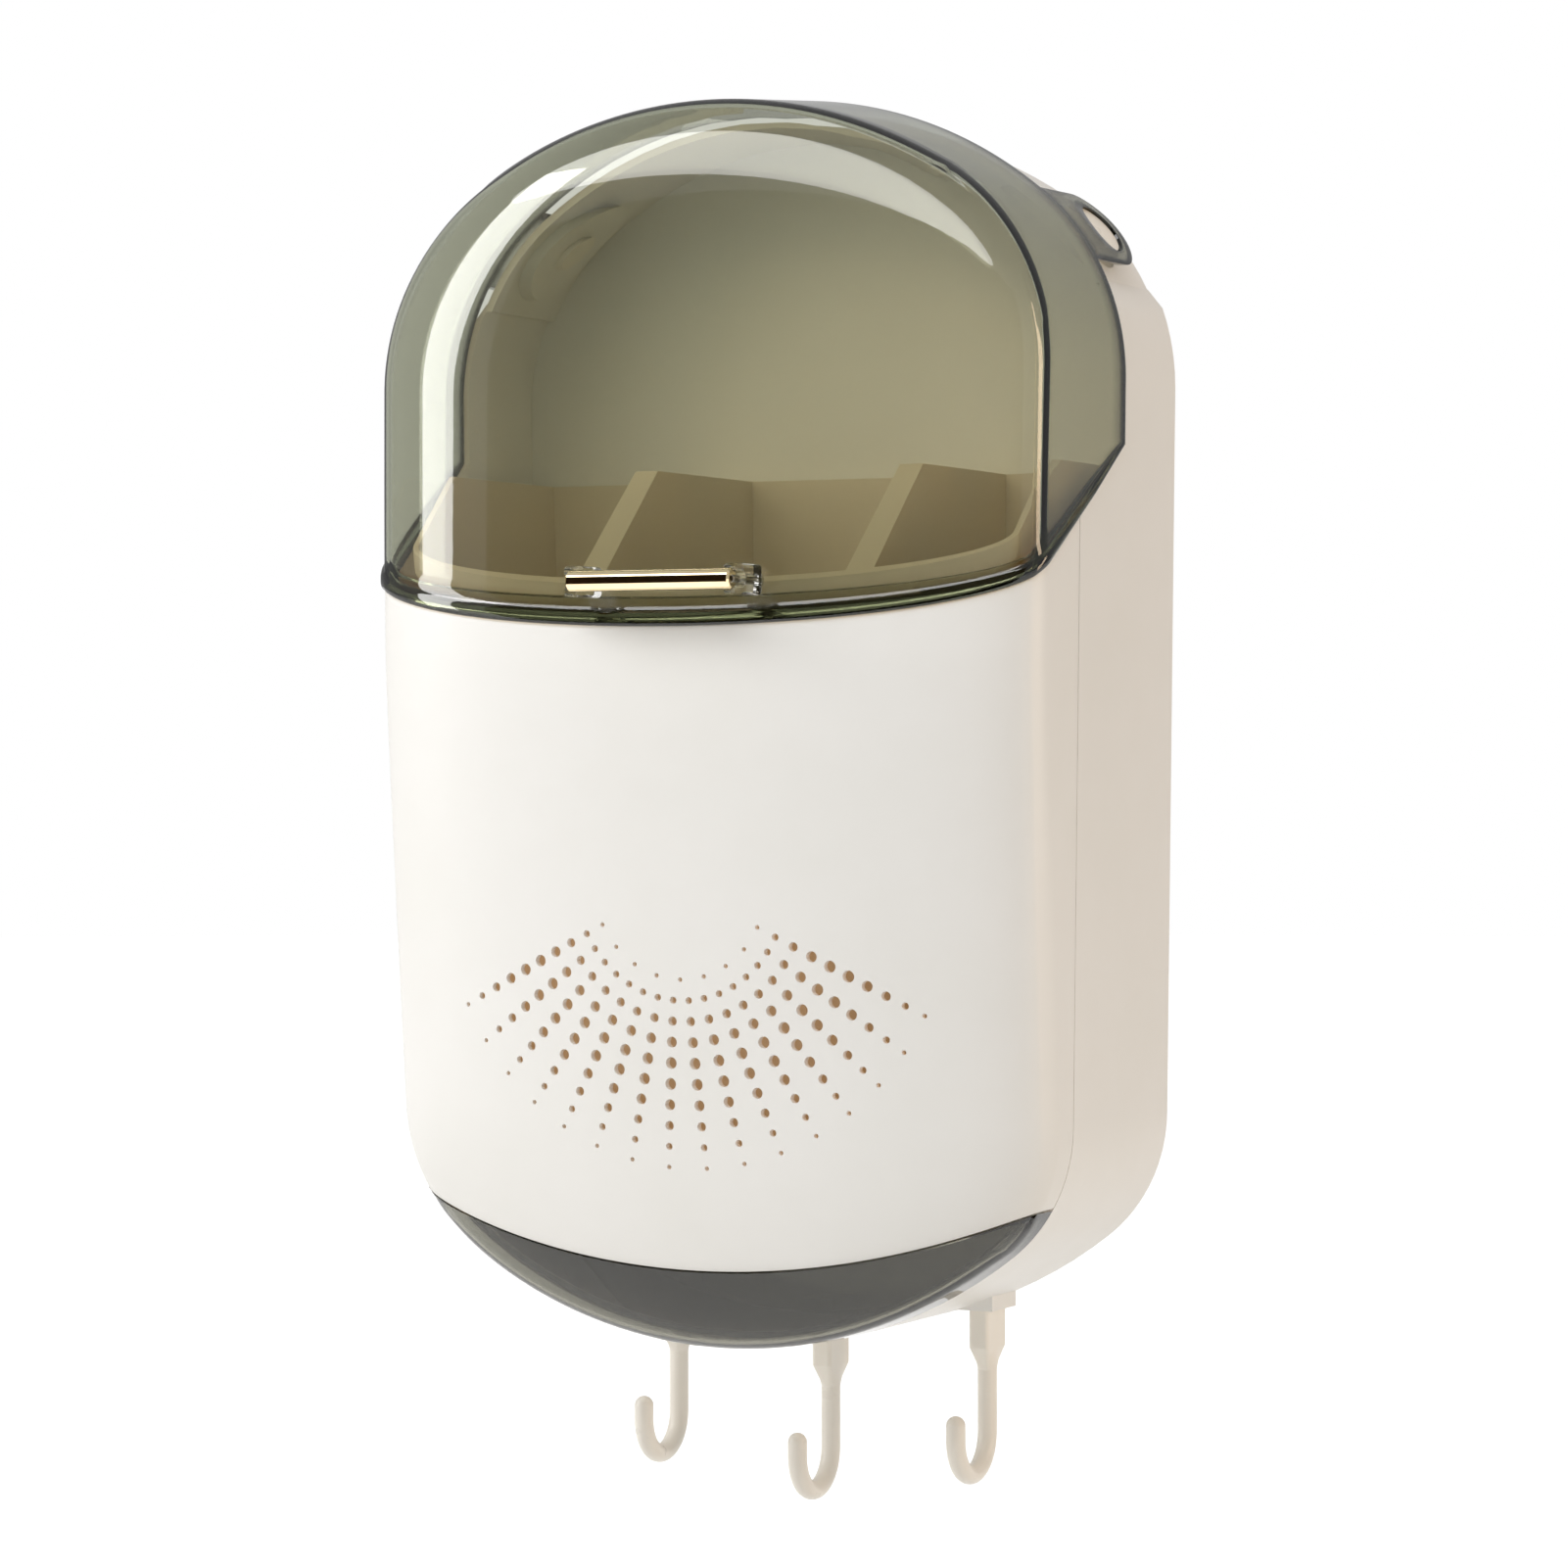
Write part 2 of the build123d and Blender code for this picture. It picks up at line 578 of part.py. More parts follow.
# --- Liner ----------------------------------------------------------------------------------------
def liner_section(height, half_width, side_front, front, back):
    """Level of the liner: straight sides and back, bulged front."""
    proud = front - side_front
    oval = EllipticalCenterArc((0, 0), half_width, proud, start_angle=180, arc_size=180)
    oval = Pos(0, -side_front, height) * oval
    edges = [
        oval,
        Line((half_width, -side_front, height), (half_width, -back, height)),
        Line((half_width, -back, height), (-half_width, -back, height)),
        Line((-half_width, -back, height), (-half_width, -side_front, height)),
    ]
    return Face(Wire(edges))


def liner_form(inset, floor):
    """Drafted solid of the liner above a floor, inset from its outer surface."""
    back = BACK_PLATE + LINER_BACK_GAP + inset
    low = liner_section(
        LINER_FLOOR,
        LINER_LOW_HALF_WIDTH - inset,
        LINER_LOW_SIDE_FRONT,
        LINER_LOW_FRONT - inset,
        back,
    )
    high = liner_section(
        LINER_TOP,
        LINER_HALF_WIDTH - inset,
        LINER_SIDE_FRONT,
        LINER_FRONT - inset,
        back,
    )
    return loft([low, high], ruled=True) & slab((-FAR, -FAR, floor), (FAR, FAR, SKY))


def divider(x, shrink):
    """Wedge between two cells, thicker towards the floor."""
    levels = []
    for height, thick in ((LINER_FLOOR, DIVIDER_BOTTOM), (LINER_TOP, DIVIDER_TOP)):
        levels.append(Pos(x, 0, height) * Rectangle(thick - 2 * shrink, 2 * FAR))
    return loft(levels, ruled=True)


def liner_top_profile():
    """Side view of the space above the liner's sloping rim."""
    return side_profile([
        (-FAR, LINER_TOP),
        (LINER_SLOPE_DEPTH, LINER_TOP),
        (FAR, LINER_TOP - LINER_SLOPE * (FAR - LINER_SLOPE_DEPTH)),
        (FAR, SKY),
        (-FAR, SKY),
    ])


def liner_slots():
    """Drain slots in the floor of each cell."""
    slots = []
    reach = LINER_LOW_HALF_WIDTH - SLOT_MARGIN
    half = SLOT_WIDTH / 2
    clearance = DIVIDER_BOTTOM / 2 + SLOT_WIDTH
    for index in range(int(2 * reach / SLOT_PITCH) + 1):
        x = SLOT_PITCH * index - reach
        if min(abs(x - DIVIDER_LEFT), abs(x - DIVIDER_RIGHT)) > clearance:
            slots.append(slab(
                (x - half, -SLOT_DEPTH, 0),
                (x + half, SLOT_LENGTH - SLOT_DEPTH, LINER_FLOOR + 2 * LINER_WALL),
            ))
    return slots


def cell_liner():
    """One-piece liner: three cells with hollow dividers and a slotted floor."""
    dividers = (DIVIDER_LEFT, DIVIDER_RIGHT)
    hollow = liner_form(LINER_WALL, LINER_FLOOR + LINER_WALL)
    for x in dividers:
        hollow = hollow - divider(x, 0)
    liner = liner_form(0, LINER_FLOOR) - hollow
    core = liner_form(LINER_WALL, LINER_FLOOR)
    roof = Pos(0, 0, -DIVIDER_ROOF) * liner_top_profile()
    for x in dividers:
        liner = liner - ((divider(x, LINER_WALL) & core) - roof)
    return liner - liner_top_profile() - liner_slots()


# --- Drip tray ------------------------------------------------------------------------------------
def tray_drawer(inset, front_y):
    """Drawer part of the tray inside the rear shell, from a front plane to its back."""
    length = -TRAY_BACK_DEPTH - inset - front_y
    return extrude(rear_outline(front_y, REAR_WALL + TRAY_GAP + inset), length, dir=(0, 1, 0))


def drip_tray():
    """Smoked tray: its front closes the bottom of the housing, its drawer runs back inside."""
    rear = SEAM_DEPTH + SEAM_GAP
    tray = envelope(0, LID_EDGE_RADIUS) & ahead_of(rear)
    tray = tray + tray_drawer(0, SEAM_Y - TRAY_LAP)
    tray = tray - (envelope(TRAY_WALL, LID_INNER_RADIUS) & ahead_of(rear + TRAY_WALL))
    tray = tray - tray_drawer(TRAY_WALL, SEAM_Y - TRAY_MOUTH)
    return tray & below_tray_edge(0)


# --- Hooks ----------------------------------------------------------------------------------------
def hook(x, shoulder):
    """J hook: flat tongue with a plug, a taper, a round rod and a bend towards the front."""
    y = -HOOK_DEPTH
    plug = slab(
        (x - TONGUE_WIDTH / 2, y - TONGUE_DEPTH / 2, shoulder - TONGUE_DROP),
        (x + TONGUE_WIDTH / 2, y + TONGUE_DEPTH / 2, shoulder + TONGUE_PLUG),
    )
    plug = fillet(plug.edges().filter_by(Axis.Z), TONGUE_EDGE_RADIUS)
    low = shoulder - TONGUE_DROP
    upper = Pos(x, y, low) * RectangleRounded(TONGUE_WIDTH, TONGUE_DEPTH, TONGUE_EDGE_RADIUS)
    lower = Pos(x, y, low - TAPER_DROP) * Circle(ROD_RADIUS)
    taper = loft([upper, lower])
    start = Vector(x, y, low - TAPER_DROP)
    turn = start + Vector(0, 0, -ROD_DROP)
    bottom = turn + Vector(0, -BEND_RADIUS, -BEND_RADIUS)
    rise = turn + Vector(0, -2 * BEND_RADIUS, 0)
    tip = rise + Vector(0, 0, TIP_RISE)
    path = Wire([Line(start, turn), ThreePointArc(turn, bottom, rise), Line(rise, tip)])
    section = Plane(origin=start, z_dir=(0, 0, -1)) * Circle(ROD_RADIUS)
    rod = sweep(section, path=path)
    end = Pos(*tip) * Sphere(ROD_RADIUS)
    return plug + taper + rod + end


def build():
    """All pieces by name."""
    pin = hinge_pin()
    pieces = {
        "rear_shell": rear_shell(),
        "front_cover": front_cover(),
        "hinge_pin_left": mirrored(pin),
        "hinge_pin_right": pin,
        "cell_liner": cell_liner(),
        "drip_tray": drip_tray(),
        "flip_lid": flip_lid(),
        "handle_bar": handle_bar(),
        "handle_post_left": handle_post(-1),
        "handle_post_right": handle_post(1),
        "handle_screws": handle_screws(),
    }
    for place, (name, shoulder) in enumerate(HOOK_SHOULDERS.items()):
        pieces[name] = hook(HOOK_PITCH * (place - 1), shoulder)
    return pieces


os.makedirs("parts", exist_ok=True)
for name, piece in build().items():
    export_step(Pos(0, 0, -SCREW_HEIGHT) * piece, "parts/" + name + ".step")
    print(name, round(piece.volume / 1000, 2), "cm3", len(piece.solids()), piece.is_valid)
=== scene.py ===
# %% [markdown]
# # A wall-hung chopstick holder in smoked plastic and cream ABS
# The holder is a moulded housing with a bulged, vented front, a see-through lid that tips up on two
# pegs, a divided liner, a drip tray and three hooks.  The construction comes packed from CAD and is
# loaded as a fixed frame.  Blender then gives every piece its finished skin and its material.
# Lengths are written in millimetres, because that is how moulded parts are drawn, and one factor
# turns them into Blender's metres.

# %% Load the fixed frame
import math

import bmesh
import bpy
from mathutils import Matrix, Vector

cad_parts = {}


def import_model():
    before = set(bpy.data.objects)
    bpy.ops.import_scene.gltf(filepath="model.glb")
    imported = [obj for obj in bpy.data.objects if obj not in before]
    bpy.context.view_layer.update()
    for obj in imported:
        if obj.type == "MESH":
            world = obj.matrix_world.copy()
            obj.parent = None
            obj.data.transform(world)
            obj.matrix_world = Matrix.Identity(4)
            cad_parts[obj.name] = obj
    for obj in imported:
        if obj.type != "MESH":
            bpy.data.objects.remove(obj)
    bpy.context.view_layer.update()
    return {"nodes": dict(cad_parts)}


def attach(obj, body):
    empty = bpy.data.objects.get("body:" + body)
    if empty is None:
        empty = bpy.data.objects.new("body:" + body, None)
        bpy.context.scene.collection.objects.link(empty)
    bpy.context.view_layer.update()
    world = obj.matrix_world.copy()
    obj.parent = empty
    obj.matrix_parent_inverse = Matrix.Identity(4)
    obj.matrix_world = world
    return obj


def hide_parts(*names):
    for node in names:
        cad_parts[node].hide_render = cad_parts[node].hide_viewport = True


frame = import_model()
nodes = frame["nodes"]
MM = 0.001

# %% [markdown]
# ## Form of the housing
# Seen from the front, the housing is a closed chain of arcs: a wide crown, two shoulders, straight
# sides, two corners and a shallow belly.  Seen from the side it is drafted, so it grows a little
# towards the wall.  The face in front is half of a flat ellipsoid with a straight stretch between its
# ends.  Because both are formulas, the skins of lid, cover and tray can be laid out as even grids of
# quads that flow along the form.  That gives far cleaner reflections than a mesh from CAD triangles.
# Heights are measured from the housing's lowest point, which is where its maker would start.

# %% Driving sizes of the form, in millimetres
SCREW_HEIGHT = 229.0
EDGE_DEPTH = 88.0
HALF_WIDTH = 101.3
LOW_HALF_WIDTH = 99.0
TOP_HEIGHT = 341.58
BASE_HEIGHT = 1.1
SIDE_DRAFT = 0.056
ROOF_RISE = 0.11
SPRING_HEIGHT = 266.0
SHOULDER_CENTRE = 36.3
CORNER_HEIGHT = 64.0
CORNER_CENTRE = 55.0
BULGE = 21.0
FACE_HALF_WIDTH = 101.5
FACE_LOW_HALF_WIDTH = 99.2
FACE_CROWN = 77.0
FACE_CHIN = 67.5
CHIN_CENTRE = 66.0
CHIN_RECESS = 14.5
CHIN_START = 190.0
CHIN_POWER = 1.15
LEAN_BACK = 3.0
LEAN_POWER = 1.3
SPLIT_HEIGHT = 213.0
SPLIT_SLOPE = 0.72
SPLIT_GAP = 0.5
SEAM_DEPTH = 68.0
SEAM_GAP = 0.25
LID_REAR_DEPTH = 40.5
LID_WALL = 2.4
LID_BEAD_HEIGHT = 4.0
LID_BEAD_DEPTH = 1.4
COVER_WALL = 2.2
REAR_WALL = 2.2
TRAY_WALL = 2.2
TRAY_GAP = 0.5
TRAY_EDGE_HEIGHT = 22.7
TRAY_EDGE_RADIUS = 245.0
TRAY_BACK_DEPTH = 19.5
HINGE_DEPTH = 22.7
HINGE_HEIGHT = 308.5
EAR_RADIUS = 10.2
EAR_BORE = 6.3


def world(x, y, height):
    """A point in the frame, in metres, from millimetres and a height above the lowest point."""
    return Vector((x * MM, y * MM, (height - SCREW_HEIGHT) * MM))


print("housing", 2 * HALF_WIDTH, "mm wide and", TOP_HEIGHT - BASE_HEIGHT, "mm high at its front edge")


# %% The outline as arcs
def arcs(y, inset):
    """Radii and joints of the outline's arcs in the plane y, drawn in by an inset."""
    depth = y + EDGE_DEPTH
    half = HALF_WIDTH + SIDE_DRAFT * depth - inset
    low_half = LOW_HALF_WIDTH + SIDE_DRAFT * depth - inset
    top = TOP_HEIGHT + ROOF_RISE * depth - inset
    base = BASE_HEIGHT - SIDE_DRAFT * depth + inset
    shoulder = half - SHOULDER_CENTRE
    rise = top - SPRING_HEIGHT - shoulder
    drop = (SHOULDER_CENTRE ** 2 - rise ** 2) / (2 * rise)
    corner = low_half - CORNER_CENTRE
    fall = CORNER_HEIGHT - base - corner
    lift = (CORNER_CENTRE ** 2 - fall ** 2) / (2 * fall)
    return {
        "half": half,
        "low_half": low_half,
        "shoulder": shoulder,
        "drop": drop,
        "crown": top - SPRING_HEIGHT + drop,
        "joint": math.atan2(drop, SHOULDER_CENTRE),
        "corner": corner,
        "lift": lift,
        "belly": CORNER_HEIGHT - base + lift,
        "low_joint": math.atan2(lift, CORNER_CENTRE),
    }


def wall_x(height, y, inset):
    """Half the outline's width at a height."""
    a = arcs(y, inset)
    if height > SPRING_HEIGHT:
        up = height - SPRING_HEIGHT
        if up < a["shoulder"] * math.sin(a["joint"]):
            return SHOULDER_CENTRE + math.sqrt(a["shoulder"] ** 2 - up ** 2)
        return math.sqrt(max(a["crown"] ** 2 - (up + a["drop"]) ** 2, 0.0))
    if height > CORNER_HEIGHT:
        share = (height - CORNER_HEIGHT) / (SPRING_HEIGHT - CORNER_HEIGHT)
        return a["low_half"] + (a["half"] - a["low_half"]) * share
    down = CORNER_HEIGHT - height
    if down < a["corner"] * math.sin(a["low_joint"]):
        return CORNER_CENTRE + math.sqrt(a["corner"] ** 2 - down ** 2)
    return math.sqrt(max(a["belly"] ** 2 - (down + a["lift"]) ** 2, 0.0))


def under_height(x, y, inset):
    """Height of the outline's underside at a distance x off the middle."""
    a = arcs(y, inset)
    x = abs(x)
    if x < a["belly"] * math.cos(a["low_joint"]):
        return CORNER_HEIGHT + a["lift"] - math.sqrt(a["belly"] ** 2 - x ** 2)
    reach = min(x - CORNER_CENTRE, a["corner"])
    return CORNER_HEIGHT - math.sqrt(a["corner"] ** 2 - reach ** 2)


def crown_point(turn, y, inset):
    """Point on the arch: turn 0 is the springing, 1 the shoulder's end and 2 the crown."""
    a = arcs(y, inset)
    if turn <= 1.0:
        angle = a["joint"] * turn
        x = SHOULDER_CENTRE + a["shoulder"] * math.cos(angle)
        return x, SPRING_HEIGHT + a["shoulder"] * math.sin(angle)
    angle = a["joint"] + (math.pi / 2 - a["joint"]) * (turn - 1)
    x = a["crown"] * math.cos(angle)
    return x, SPRING_HEIGHT - a["drop"] + a["crown"] * math.sin(angle)


def turn_at(height, y, inset):
    """The arch's turn at a height."""
    a = arcs(y, inset)
    up = height - SPRING_HEIGHT
    if up < a["shoulder"] * math.sin(a["joint"]):
        return math.asin(up / a["shoulder"]) / a["joint"]
    angle = math.asin((up + a["drop"]) / a["crown"])
    return 1 + (angle - a["joint"]) / (math.pi / 2 - a["joint"])


print("arch radii", round(arcs(-EDGE_DEPTH, 0)["shoulder"], 1), round(arcs(-EDGE_DEPTH, 0)["crown"], 1))


# %% The face, the split line and the tray's edge
def setback(height):
    """How far the face's edge plane lies behind its foremost place."""
    if height < CHIN_START:
        return CHIN_RECESS * (1 - max(height, 0.0) / CHIN_START) ** CHIN_POWER
    if height > SPLIT_HEIGHT:
        share = (min(height, TOP_HEIGHT) - SPLIT_HEIGHT) / (TOP_HEIGHT - SPLIT_HEIGHT)
        return LEAN_BACK * share ** LEAN_POWER
    return 0.0


def face_y(x, height, inset):
    """Y of the bulged face at a place."""
    over = max(height - SPRING_HEIGHT, 0.0) / (FACE_CROWN - inset)
    under = max(CHIN_CENTRE - height, 0.0) / (FACE_CHIN - inset)
    grown = min(max((height - CORNER_HEIGHT) / (SPRING_HEIGHT - CORNER_HEIGHT), 0.0), 1.0)
    across = x / (FACE_LOW_HALF_WIDTH + (FACE_HALF_WIDTH - FACE_LOW_HALF_WIDTH) * grown - inset)
    left = max(1 - across ** 2 - over ** 2 - under ** 2, 0.0)
    return setback(height) - EDGE_DEPTH - (BULGE - inset) * math.sqrt(left)


def split_height(y):
    """Height of the split between lid and housing."""
    return SPLIT_HEIGHT + SPLIT_SLOPE * (y + EDGE_DEPTH)


def tray_edge(x):
    """Height of the tray's upper edge."""
    return TRAY_EDGE_HEIGHT + TRAY_EDGE_RADIUS - math.sqrt(TRAY_EDGE_RADIUS ** 2 - x ** 2)


print("face stands", round(-EDGE_DEPTH - face_y(0, 150, 0), 1), "mm proud of its edge")

# %% [markdown]
# ## Lines over the skin
# Each skin is woven from lines.  A line starts at the rear of a side wall, runs forward, goes round
# the front edge and crosses the face to the middle.  The wall and the face meet in a corner that is
# found by going back and forth between the two formulas a few times.  A quadratic curve with its
# handle in that corner then rounds the edge, as the radius in the mould does.


# %% Weave one line
REAR_CROWDING = 1.5
SETTLING_ROUNDS = 14


def settle(start, step):
    """Repeats a step until the value settles."""
    value = start
    for _ in range(SETTLING_ROUNDS):
        value = step(value)
    return value


def round_corner(behind, corner, front, count):
    """Points of a quadratic curve round a corner, with its last point left to what follows."""
    shares = [i / count for i in range(count)]
    return [behind * (1 - t) ** 2 + corner * 2 * t * (1 - t) + front * t ** 2 for t in shares]


def skin_line(wall, face, start_y, radius, counts):
    """Points from the rear of the wall, round the front edge and over the face."""
    corner_y = settle(-EDGE_DEPTH, lambda y: face(wall(y), 0.0)[1])
    corner = Vector(wall(corner_y))
    behind = Vector(wall(corner_y + radius))
    share = radius / max((corner - Vector(face(corner, 1.0))).length, radius)
    front = Vector(face(corner, share))
    wall_count, round_count, face_count = counts
    line = []
    for i in range(wall_count):
        y = start_y + (corner_y + radius - start_y) * (i / wall_count) ** REAR_CROWDING
        line.append(Vector(wall(y)))
    line += round_corner(behind, corner, front, round_count)
    for i in range(face_count + 1):
        line.append(Vector(face(corner, share + (1 - share) * i / face_count)))
    return line


def level_line(height_at, inset_at, start_y, radius, counts):
    """A line with rules for its height and its inset, from the rear of the right wall to the middle."""

    def wall(y):
        inset = inset_at(y)
        height = settle(height_at(HALF_WIDTH, y), lambda h: height_at(wall_x(h, y, inset), y))
        return wall_x(height, y, inset), y, height

    def face(corner, share):
        inset = inset_at(-EDGE_DEPTH)
        x = corner[0] * (1 - share)
        height = settle(corner[2], lambda h: height_at(x, face_y(x, h, inset)))
        return x, face_y(x, height, inset), height

    return skin_line(wall, face, start_y, radius, counts)


def arch_line(turn, inset, start_y, radius, counts):
    """A line from the rear of the arch, over the edge and in towards the springing's middle."""

    def wall(y):
        x, height = crown_point(turn, y, inset)
        return x, y, height

    def face(corner, share):
        x = corner[0] * (1 - share)
        height = corner[2] + (SPRING_HEIGHT - corner[2]) * share
        return x, face_y(x, height, inset), height

    return skin_line(wall, face, start_y, radius, counts)


print("one line over the crown:", len(arch_line(2.0, 0, -LID_REAR_DEPTH, 3, (4, 4, 4))), "points")


# %% Grids of quads from lines
def mirror_line(line):
    """The same line on the other side."""
    return [Vector((-p.x, p.y, p.z)) for p in line]


def add_grid(bm, lines):
    """Adds a grid of quads from lines of equal length and returns its vertices."""
    rows = [[bm.verts.new(world(*p)) for p in line] for line in lines]
    for upper, lower in zip(rows, rows[1:]):
        for i in range(len(upper) - 1):
            bm.faces.new((upper[i], upper[i + 1], lower[i + 1], lower[i]))
    return rows


def add_rim(bm, outer, inner):
    """Joins two rows of vertices by a strip of quads."""
    for i in range(len(outer) - 1):
        bm.faces.new((outer[i], outer[i + 1], inner[i + 1], inner[i]))


trial = bmesh.new()
add_grid(trial, [arch_line(turn, 0, -LID_REAR_DEPTH, 3, (4, 4, 4)) for turn in (1.8, 2.0)])
print("two lines give", len(trial.faces), "quads")
trial.free()

# %% Close a mesh and check it
WELD_GAP = 0.002
SLIVER = 0.001
WOVEN_SHARP_ANGLE = 32.0


def count_open_edges(mesh):
    """Edges that don't have a face on both sides."""
    check = bmesh.new()
    check.from_mesh(mesh)
    found = sum(1 for edge in check.edges if len(edge.link_faces) != 2)
    check.free()
    return found


def smooth(mesh, sharp_angle):
    """Shades a mesh smooth, apart from edges sharper than an angle in degrees."""
    mesh.shade_smooth()
    mesh.set_sharp_from_angle(angle=math.radians(sharp_angle))


def put_in_scene(name, mesh):
    """A new object in the scene for a mesh."""
    piece = bpy.data.objects.new(name, mesh)
    bpy.context.scene.collection.objects.link(piece)
    return piece


def finish_mesh(name, bm):
    """Closes, orients and shades a woven mesh."""
    bmesh.ops.remove_doubles(bm, verts=bm.verts, dist=WELD_GAP * MM)
    bmesh.ops.dissolve_degenerate(bm, edges=bm.edges, dist=SLIVER * MM)
    bmesh.ops.recalc_face_normals(bm, faces=bm.faces)
    mesh = bpy.data.meshes.new(name)
    bm.to_mesh(mesh)
    bm.free()
    smooth(mesh, WOVEN_SHARP_ANGLE)
    print(name, len(mesh.polygons), "faces,", count_open_edges(mesh), "open edges")
    return put_in_scene(name, mesh)


print("points closer than", WELD_GAP, "mm become one")

# %% [markdown]
# ## Edges that catch the light
# No moulded edge is truly sharp, and the thin line of light on a small radius is what tells the eye that
# a thing is real.  The bevel modifier rounds every edge that is sharper than an angle.  The weighted
# normal modifier then lets large flat faces rule the shading, so that flats stay flat next to a radius.
# Each is turned into a plain mesh at once, because the finished pieces carry no modifiers.

# %% Soft edges and level flats
SOFT_SHARP_ANGLE = 55.0
FLAT_WEIGHT = 90


def bake_modifiers(piece):
    """Turns a piece with its modifiers into a plain mesh."""
    graph = bpy.context.evaluated_depsgraph_get()
    mesh = bpy.data.meshes.new_from_object(piece.evaluated_get(graph))
    piece.modifiers.clear()
    piece.data = mesh


def level_flats(piece):
    """Lets large faces set the normals along their edges, so that flats shade flat."""
    flats = piece.modifiers.new("flats", "WEIGHTED_NORMAL")
    flats.weight = FLAT_WEIGHT
    flats.keep_sharp = True
    bake_modifiers(piece)


def soften_edges(piece, width, angle=40.0, segments=2):
    """Rounds a piece's hard edges by a small width in millimetres."""
    bevel = piece.modifiers.new("moulded radius", "BEVEL")
    bevel.width = width * MM
    bevel.segments = segments
    bevel.limit_method = "ANGLE"
    bevel.angle_limit = math.radians(angle)
    bevel.harden_normals = False
    bake_modifiers(piece)
    smooth(piece.data, SOFT_SHARP_ANGLE)
    faces = len(piece.data.polygons)
    print(piece.name, "softened to", faces, "faces,", count_open_edges(piece.data), "open edges")


print("edges stay hard to the eye above", SOFT_SHARP_ANGLE, "degrees")

# %% [markdown]
# ## The smoked lid
# The lid is one clear moulding.  Its skin is woven from two kinds of lines: over the shoulders and the
# crown they run in towards the springing's middle, and below it they fan down until the last one lies
# on the split.  The inner skin is the same weave, drawn in by the wall.  Along the split the real lid is
# thickened to a rounded bead, which keeps a thin wall from bending.  It stands proud of the face and
# fades out along the side walls, where the lid has to tip up clear of the wall behind.
# Each ear is a ring that flows out of the rear edge, so its points are shared with the lid's.

# %% Lines over the arch
LID_EDGE_RADIUS = 2.4
LID_INNER_RADIUS = 1.2
LID_COUNTS = (14, 7, 34)
LOW_ARCH_LINES = 12
HIGH_ARCH_LINES = 26
EAR_STEPS = 12
EAR_LOW = HINGE_HEIGHT - EAR_RADIUS
EAR_HIGH = HINGE_HEIGHT + EAR_RADIUS


def lid_turns(inset):
    """Turns of the arch lines.  Where the ears sprout, they pass through the ears' own heights."""
    heights = [EAR_LOW + (EAR_HIGH - EAR_LOW) * i / EAR_STEPS for i in range(EAR_STEPS + 1)]
    at_ear = [turn_at(h, -LID_REAR_DEPTH, inset) for h in heights]
    below = [at_ear[0] * i / LOW_ARCH_LINES for i in range(LOW_ARCH_LINES)]
    left = 2 - at_ear[-1]
    above = [at_ear[-1] + left * i / HIGH_ARCH_LINES for i in range(1, HIGH_ARCH_LINES + 1)]
    return below + at_ear + above


print("turns of the lid's arch lines:", len(lid_turns(0)))

# %% The bead along the split
LIP_DEPTH = 1.2
LIP_CENTRE = 1.8
LIP_FADE = 20.0
BEAD_LINES = (0.0, 0.5, 1.3, 2.3, 3.1, 3.6, LID_BEAD_HEIGHT)


def bead_share(y):
    """Share of the bead's depth that is left at a place.  The bead fades out towards the lid's rear."""
    return min((-LID_REAR_DEPTH - y) / LIP_FADE, 1.0)


def inner_bead(rise, y):
    """How far the bead stands in from the inner skin at a height over the split."""
    return LID_BEAD_DEPTH * bead_share(y) if rise < LID_BEAD_HEIGHT else 0.0


def outer_bead(rise, y):
    """How far the rounded bead stands out of the face at a height over the split, as a negative inset."""
    if rise >= LID_BEAD_HEIGHT:
        return 0.0
    off_centre = (rise - LIP_CENTRE) / (LID_BEAD_HEIGHT - LIP_CENTRE)
    return -LIP_DEPTH * bead_share(y) * math.sqrt(1 - off_centre ** 2)


print("the bead stands", -outer_bead(LIP_CENTRE, -EDGE_DEPTH), "mm proud in front")

# %% All the lines of a skin of the lid
FAN_LINES = 14
LOW_LINES = len(BEAD_LINES) + FAN_LINES - 1


def lid_lines(inset, bead, radius):
    """All the lines of one skin of the lid's right half, from the split to the crown."""
    lines = []
    heights = list(BEAD_LINES)
    reach = SPRING_HEIGHT - split_height(-EDGE_DEPTH)
    for i in range(1, FAN_LINES):
        heights.append(LID_BEAD_HEIGHT + (reach - LID_BEAD_HEIGHT) * i / FAN_LINES)
    for rise in heights:
        share = (reach - rise) / reach

        def drawn_in(y, rise=rise):
            return inset + bead(rise, y)

        def height_at(x, y, share=share):
            low = split_height(y) + SPLIT_GAP
            return SPRING_HEIGHT + (low - SPRING_HEIGHT) * share

        lines.append(level_line(height_at, drawn_in, -LID_REAR_DEPTH, radius, LID_COUNTS))
    for turn in lid_turns(inset):
        lines.append(arch_line(turn, inset, -LID_REAR_DEPTH, radius, LID_COUNTS))
    return lines


print("lines between the split and the springing:", LOW_LINES)

# %% The ears
EAR_ROUND_STEPS = 24
EAR_SIDE_STEPS = 6
EAR_SIDE_TURN = 42.0
EAR_RING_SHARES = (0.0, 0.35, 0.7, 1.0)


